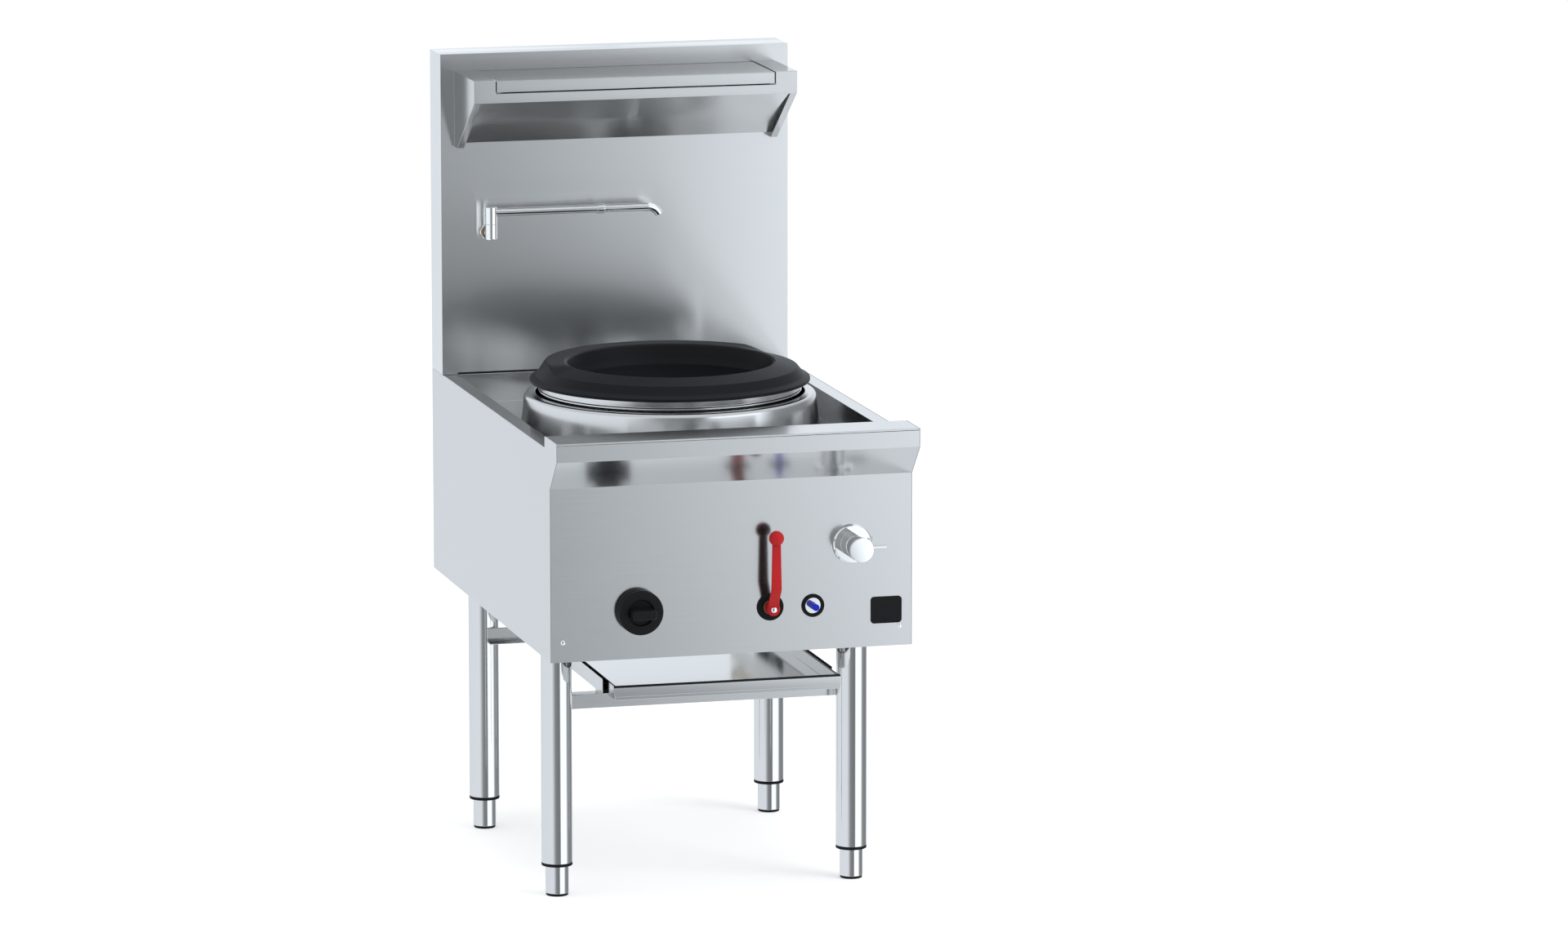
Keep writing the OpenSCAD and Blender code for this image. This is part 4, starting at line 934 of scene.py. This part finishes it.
class WOK_OT_spout(bpy.types.Operator):
    """Bend the swinging spout and make its body, collar and wall nut"""

    bl_idname = "wok_burner.spout"
    bl_label = "Spout"

    def execute(self, context):
        chrome = finish(chrome_plate)
        low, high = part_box("spout_arm")
        body_r = 9.75
        x = low.x + body_r * MM
        y = (low.y + high.y) / 2
        top = high.z / MM
        split = low.z / MM
        arm_z = (top - 9) * MM
        head = fillet([
            (5.8, split), (body_r, split), (body_r, top), (0, top), (0, top - 3), (5.8, top - 3),
        ], [0, 0.4, 1.1, 0, 0, 0], 4)
        start_x = x + 7 * MM
        bend_x = x + 268 * MM
        bend_r = 24 * MM
        arm_r = 6.7 * MM
        stations = [
            ((start_x + share / 8 * (bend_x - start_x), y, arm_z), (1, 0, 0), arm_r) for share in range(9)
        ]
        for i in range(1, 17):
            bent = math.radians(62) * i / 16
            stations.append((
                (bend_x + bend_r * math.sin(bent), y, arm_z - bend_r * (1 - math.cos(bent))),
                (math.cos(bent), 0, -math.sin(bent)), arm_r,
            ))
        tip, aim, _ = stations[-1]
        for back, radius in ((0.0, 6.1), (0.0006, 5.6), (0.012, 5.6)):
            stations.append((Vector(tip) - Vector(aim) * back, aim, radius * MM))
        collar = fillet([(6.5, -6.5), (8.5, -6.5), (8.5, 6.5), (6.5, 6.5)], [0, 0.8, 0.8, 0], 4)
        collar_at = (bend_x - 80 * MM, y, arm_z)
        build("spout_swing_arm", [
            lathe(head, (x, y, 0), "z", 64), sweep(stations, (0, 1, 0)), lathe(collar, collar_at, "x", 64),
        ], chrome, "spout_arm")
        low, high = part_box("spout_elbow")
        foot = low.z / MM
        body = fillet([
            (0, foot), (body_r, foot), (body_r, split - 0.3), (5.5, split - 0.3), (5.5, high.z / MM),
            (0, high.z / MM),
        ], [0, 2, 0.4, 0, 0.4, 0], 5)
        (_, wall, stub_z), _ = on_panel("spout_nut")
        at = (x, wall, stub_z)
        reach = (wall - y) / MM
        stub = [(0, -14), (8, -14), (8, reach), (0, reach)]
        build("spout_elbow_body", [lathe(body, (x, y, 0), "z", 64), lathe(stub, at, "y", 48)], chrome,
              "spout_elbow")
        corners = [math.radians(60 * i) for i in range(6)]
        nut = [
            (out, [(radius * math.cos(angle), radius * math.sin(angle)) for angle in corners])
            for out, radius in ((0, 13.5), (4.6, 13.5), (5.6, 12.9), (6, 12.2))
        ]
        build("spout_wall_nut", [layers(at, nut)], chrome, "spout_nut", sharp=20)
        turn("spout_olive", [(8.1, 6), (11.2, 6), (10.4, 8.4), (8.1, 8.4)], [0, 0.2, 0.8, 0], 3, at, "y",
             finish(plain_brass), "spout_nut", 48, stands_for=False)
        return {"FINISHED"}


class WOK_OT_panel_trim(bpy.types.Operator):
    """Mould the blank plate and set the cross-head screws in the panel's lower corners"""

    bl_idname = "wok_burner.panel_trim"
    bl_label = "Panel trim"

    def execute(self, context):
        centre, _ = on_panel("badge_plate")
        plate = [(out, rounded_loop(26 - inset, 22 - inset, 6 - inset, 7)) for out, inset in (
            (0, 0), (0.7, 0), (1.0, 0.3), (1.2, 0.9), (1.2, 2.6), (0.95, 3.0),
        )]
        build("blank_plate", [layers(centre, plate)], finish(black_plastic), "badge_plate")
        head = fillet([
            (0, 0), (1, 0), (1, 0.35), (0.62, 0.86), (0.4, 1), (0, 1),
        ], [0, 0, 0.1, 0.1, 0, 0], 3)
        shells = [unit_lathe(head, 32)]
        for angle in (0, math.pi / 2):
            cos, sin = math.cos(angle), math.sin(angle)
            loops = []
            for half, height in ((0.62, 0.7), (0.62 * 0.93, 1.03)):
                loops.append([
                    (u * cos - v * sin, u * sin + v * cos, height)
                    for u, v in ((-half, -0.11), (half, -0.11), (half, 0.11), (-half, 0.11))
                ])
            shells.append(skin(loops))
        low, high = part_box("panel_screws")
        panel = high.y - 8 * MM
        z = (low.z + high.z) / 2
        wide = forms().screw_width
        tall = 2.2 * MM / wide
        facing = [([(u, -w * tall, v) for u, v, w in points], faces) for points, faces in shells]
        places = [(low.x + wide, panel, z), (high.x - wide, panel, z)]
        repeat("panel_screw_heads", facing, places, wide, wide, finish(chrome_plate), "panel_screws")
        return {"FINISHED"}


class WOK_OT_stand(bpy.types.Operator):
    """Set out the legs and bushes, and turn the screw feet and their tips"""

    bl_idname = "wok_burner.stand"
    bl_label = "Legs and feet"

    def execute(self, context):
        rubber = finish(black_rubber)
        steel = finish(polished_steel)
        low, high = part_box("legs")
        wide = 25.4 * MM
        corners = [(x, y) for x in (low.x + wide, high.x - wide) for y in (low.y + wide, high.y - wide)]
        bore = 1 - 1.5 / 25.4
        edge = 0.0012
        tube = [(0.98, 0), (1, edge), (1, 1 - edge), (0.98, 1), (bore, 1), (bore, 0)]
        places = [(x, y, low.z) for x, y in corners]
        repeat("leg_tubes", [unit_lathe(tube)], places, wide, high.z - low.z, steel, "legs")
        tube_end = low.z
        low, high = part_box("leg_bushes")
        tall = high.z - low.z
        lip = (tube_end - low.z) / tall
        ankle = low.z / MM
        ring = fillet([
            (0.33, 0), (1, 0), (1, lip), (0.935, lip), (0.935, 1), (0.33, 1),
        ], [0, 0.035, 0.03, 0, 0, 0], 4)
        places = [(x, y, low.z) for x, y in corners]
        repeat("leg_bush_rings", [unit_lathe(ring)], places, wide, tall, rubber, "leg_bushes")
        for corner in ("front_left", "front_right", "rear_left", "rear_right"):
            low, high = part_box("foot_" + corner)
            centre = ((low.x + high.x) / 2, (low.y + high.y) / 2, 0)
            r = (high.x - low.x) / 2 / MM
            top = high.z / MM
            turn("turned_foot_" + corner, [
                (0, 4), (r - 0.8, 4), (r, 4.8), (r, ankle), (8, ankle), (8, top), (0, top),
            ], [0, 0.3, 0.6, 0.8, 0, 0.8, 0], 4, centre, "z", steel, "foot_" + corner, 72)
            turn("moulded_tip_" + corner, [
                (0, 0), (r - 1.6, 0), (r - 0.9, 1.2), (r - 0.9, 4), (0, 4),
            ], [0, 0.6, 0.8, 0, 0], 4, centre, "z", rubber, "foot_tip_" + corner, 72)
        return {"FINISHED"}


class WOK_OT_drip_tray(bpy.types.Operator):
    """Dress the drip tray, its runners and the cross bars"""

    bl_idname = "wok_burner.drip_tray"
    bl_label = "Drip tray"

    def execute(self, context):
        dress("drip_tray", finish(tray_steel))
        dress("cross_bars", finish(sheet_steel, "x"))
        dress("tray_runners", finish(sheet_steel, "y"))
        return {"FINISHED"}


class WOK_OT_burner(bpy.types.Operator):
    """Turn the burner head, set its jets and dress the pilot and the mixing tube"""

    bl_idname = "wok_burner.burner"
    bl_label = "Burner"

    def execute(self, context):
        r, foot, top = upright("burner_head")
        turn("burner_casting", [
            (22.1, foot), (34, foot), (34, top - 40), (r, top - 12), (r, top), (0, top), (0, top - 8),
            (22.1, top - 42),
        ], [0, 1, 8, 3, 2, 0, 0, 0], 5, (0, 0, 0), "z", finish(raw_iron), "burner_head")
        low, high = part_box("burner_jets")
        tall = high.z - low.z
        jet = fillet([
            (0, 0), (1, 0), (1, 0.3), (0.72, 1), (0.42, 1), (0.4, 0.55), (0, 0.5),
        ], [0, 0, 0.05, 0.06, 0.04, 0, 0], 2)
        places = [(0, 0, low.z)]
        for count, share in ((6, 0.38), (12, 0.76)):
            for i in range(count):
                angle = 2 * math.pi * i / count
                places.append((share * r * MM * math.cos(angle), share * r * MM * math.sin(angle), low.z))
        jets = [unit_lathe(jet, 24)]
        repeat("burner_jet_set", jets, places, forms().jet_width, tall, finish(plain_brass), "burner_jets")
        for node in (
            "burner_bracket", "mixing_tube", "injector", "pilot_burner", "thermocouple", "spark_electrode",
        ):
            dress(node, slot_finish(node), SMALL_EDGE)
        return {"FINISHED"}


class WOK_OT_pipework(bpy.types.Operator):
    """Dress the valves and pipes behind the panel"""

    bl_idname = "wok_burner.pipework"
    bl_label = "Valves and pipes"

    def execute(self, context):
        for node in ("gas_pipes", "ball_valve", "burner_valve", "mixer_body", "water_inlets", "water_pipe"):
            dress(node, slot_finish(node), PIPE_EDGE)
        return {"FINISHED"}


class WOK_OT_stage(bpy.types.Operator):
    """Lay the floor, hang the lamps, light the surroundings and set up the camera"""

    bl_idname = "wok_burner.stage"
    bl_label = "Stage"

    def execute(self, context):
        scene = context.scene
        scene.view_settings.view_transform = "Standard"
        settings = staging()
        self.lay_floor(settings)
        self.hang_lamps(settings)
        self.light_world(settings)
        lens = bpy.data.cameras.new("photo_camera")
        lens.lens = settings.lens
        lens.sensor_width = 36
        lens.clip_end = 300
        camera = add_object("photo_camera", lens)
        camera.location = (-3.24383, -12.83049, 2.99105)
        camera.rotation_euler = (math.radians(80), 0, math.radians(-15))
        scene.camera = camera
        return {"FINISHED"}

    def lay_floor(self, settings):
        far = 60
        mesh = bpy.data.meshes.new("floor")
        mesh.from_pydata([(-far, -far, 0), (far, -far, 0), (far, far, 0), (-far, far, 0)], [], [[0, 1, 2, 3]])
        floor = add_object("floor", mesh)
        material = bpy.data.materials.new("floor_white")
        material.use_nodes = True
        inputs = material.node_tree.nodes["Principled BSDF"].inputs
        inputs["Base Color"].default_value = (*settings.floor, 1)
        inputs["Roughness"].default_value = 1
        inputs["Specular IOR Level"].default_value = 0
        inputs["Emission Strength"].default_value = settings.floor_glow
        seen = Wire(material.node_tree).make("ShaderNodeLightPath", out="Is Camera Ray")
        seen.feed(inputs["Emission Color"], seen.between((0, 0, 0), (1, 1, 1)))
        mesh.materials.append(material)
        floor.visible_glossy = False

    def hang_lamps(self, settings):
        for name, spot, size, power in (
            ("right_lamp", (3.2, -2.6, 2.6), 2.2, settings.key),
            ("top_lamp", (0.0, -0.4, 4.2), 3.0, settings.top),
        ):
            light = bpy.data.lights.new(name, "AREA")
            light.shape = "SQUARE"
            light.size = size
            light.energy = power
            lamp = add_object(name, light)
            lamp.location = spot
            aim = Vector((0, 0, 0.7)) - Vector(spot)
            lamp.rotation_euler = aim.to_track_quat("-Z", "Y").to_euler()
            lamp.visible_glossy = False

    def light_world(self, settings):
        """Even light for matt faces, and a studio of soft panels for the metal to mirror.

        Each wall is an angle in degrees, from the front towards the right, and a brightness.
        """
        world = bpy.data.worlds.new("studio")
        world.use_nodes = True
        tree = world.node_tree
        way = Wire(tree).make("ShaderNodeTexCoord", out="Generated")
        degrees = 180 / math.pi
        angle = way.calc("ARCTAN2", way.axis("X"), way.axis("Y") * -1) * degrees
        rise = way.make("ShaderNodeMath", {0: way.axis("Z")}, operation="ARCSINE") * degrees
        lean = way.calc("MINIMUM", 0.4 * (rise + 10.5), 0.4 - 0.12 * rise)
        angle = angle + lean
        panel = settings.panel
        walls = (
            (-180, 1.35), (-170, 1.05), (-160, 1.0), (-45, 1.0), (-34, 0.7), (-22, 0.32), (5, 0.24),
            (12, 0.26), (14, 0.38), (15.7, 1.2), (17, panel), (60, panel), (66, 0.9), (76, 0.33),
            (120, 0.29), (142, 0.95), (180, 1.35),
        )
        stops = [((at + 180) / 360, shade / 2) for at, shade in walls]
        share = (angle + 180) * (1 / 360)
        wall = 2 * way.make("ShaderNodeValToRGB", {"Fac": share}, stops=stops, out="Color")
        above = rise.ramp(14, 36)
        below = rise.ramp(-20, -50)
        pool = angle.ramp(5, 13) * angle.ramp(110, 80) * rise.ramp(-13, -18) * rise.ramp(-60, -45)
        room = wall * (1 - above) * (1 - below) + 0.78 * above + 0.92 * below
        room = way.calc("MAXIMUM", room, panel * pool)
        seen = way.make("ShaderNodeLightPath", out="Is Camera Ray")
        glossy = way.make("ShaderNodeLightPath", out="Is Glossy Ray")
        light = settings.sky * (1 - glossy) + room * glossy
        inputs = tree.nodes["Background"].inputs
        way.feed(inputs["Strength"], seen + light * (1 - seen))
        way.feed(inputs["Color"], glossy.between((1, 1, 1), settings.tint))
        bpy.context.scene.world = world


class WOK_PT_burner(bpy.types.Panel):
    """Sizes, finishes and building steps of the wok burner"""

    bl_idname = "WOK_PT_burner"
    bl_label = "Wok burner"
    bl_space_type = "VIEW_3D"
    bl_region_type = "UI"
    bl_category = "Wok burner"

    def draw(self, context):
        for group in (context.scene.wok_finishes, context.scene.wok_forms, context.scene.wok_staging):
            box = self.layout.box()
            for name in group.bl_rna.properties.keys():
                if name not in ("rna_type", "name"):
                    box.prop(group, name)
        for operator in STEPS:
            self.layout.operator(operator.bl_idname)


STEPS = (
    WOK_OT_cabinet_sheets, WOK_OT_shelf, WOK_OT_chimney, WOK_OT_wok_ring, WOK_OT_gas_knob,
    WOK_OT_valve_lever, WOK_OT_igniter, WOK_OT_mixer, WOK_OT_spout, WOK_OT_panel_trim, WOK_OT_stand,
    WOK_OT_drip_tray, WOK_OT_burner, WOK_OT_pipework, WOK_OT_stage,
)
CLASSES = (FinishSettings, FormSettings, StageSettings, *STEPS, WOK_PT_burner)


def register():
    for item in CLASSES:
        bpy.utils.register_class(item)
    bpy.types.Scene.wok_finishes = bpy.props.PointerProperty(type=FinishSettings)
    bpy.types.Scene.wok_forms = bpy.props.PointerProperty(type=FormSettings)
    bpy.types.Scene.wok_staging = bpy.props.PointerProperty(type=StageSettings)


def unregister():
    del bpy.types.Scene.wok_staging
    del bpy.types.Scene.wok_forms
    del bpy.types.Scene.wok_finishes
    for item in reversed(CLASSES):
        bpy.utils.unregister_class(item)


def main():
    register()
    for operator in STEPS:
        group, name = operator.bl_idname.split(".")
        getattr(getattr(bpy.ops, group), name)()


if __name__ == "__main__":
    main()
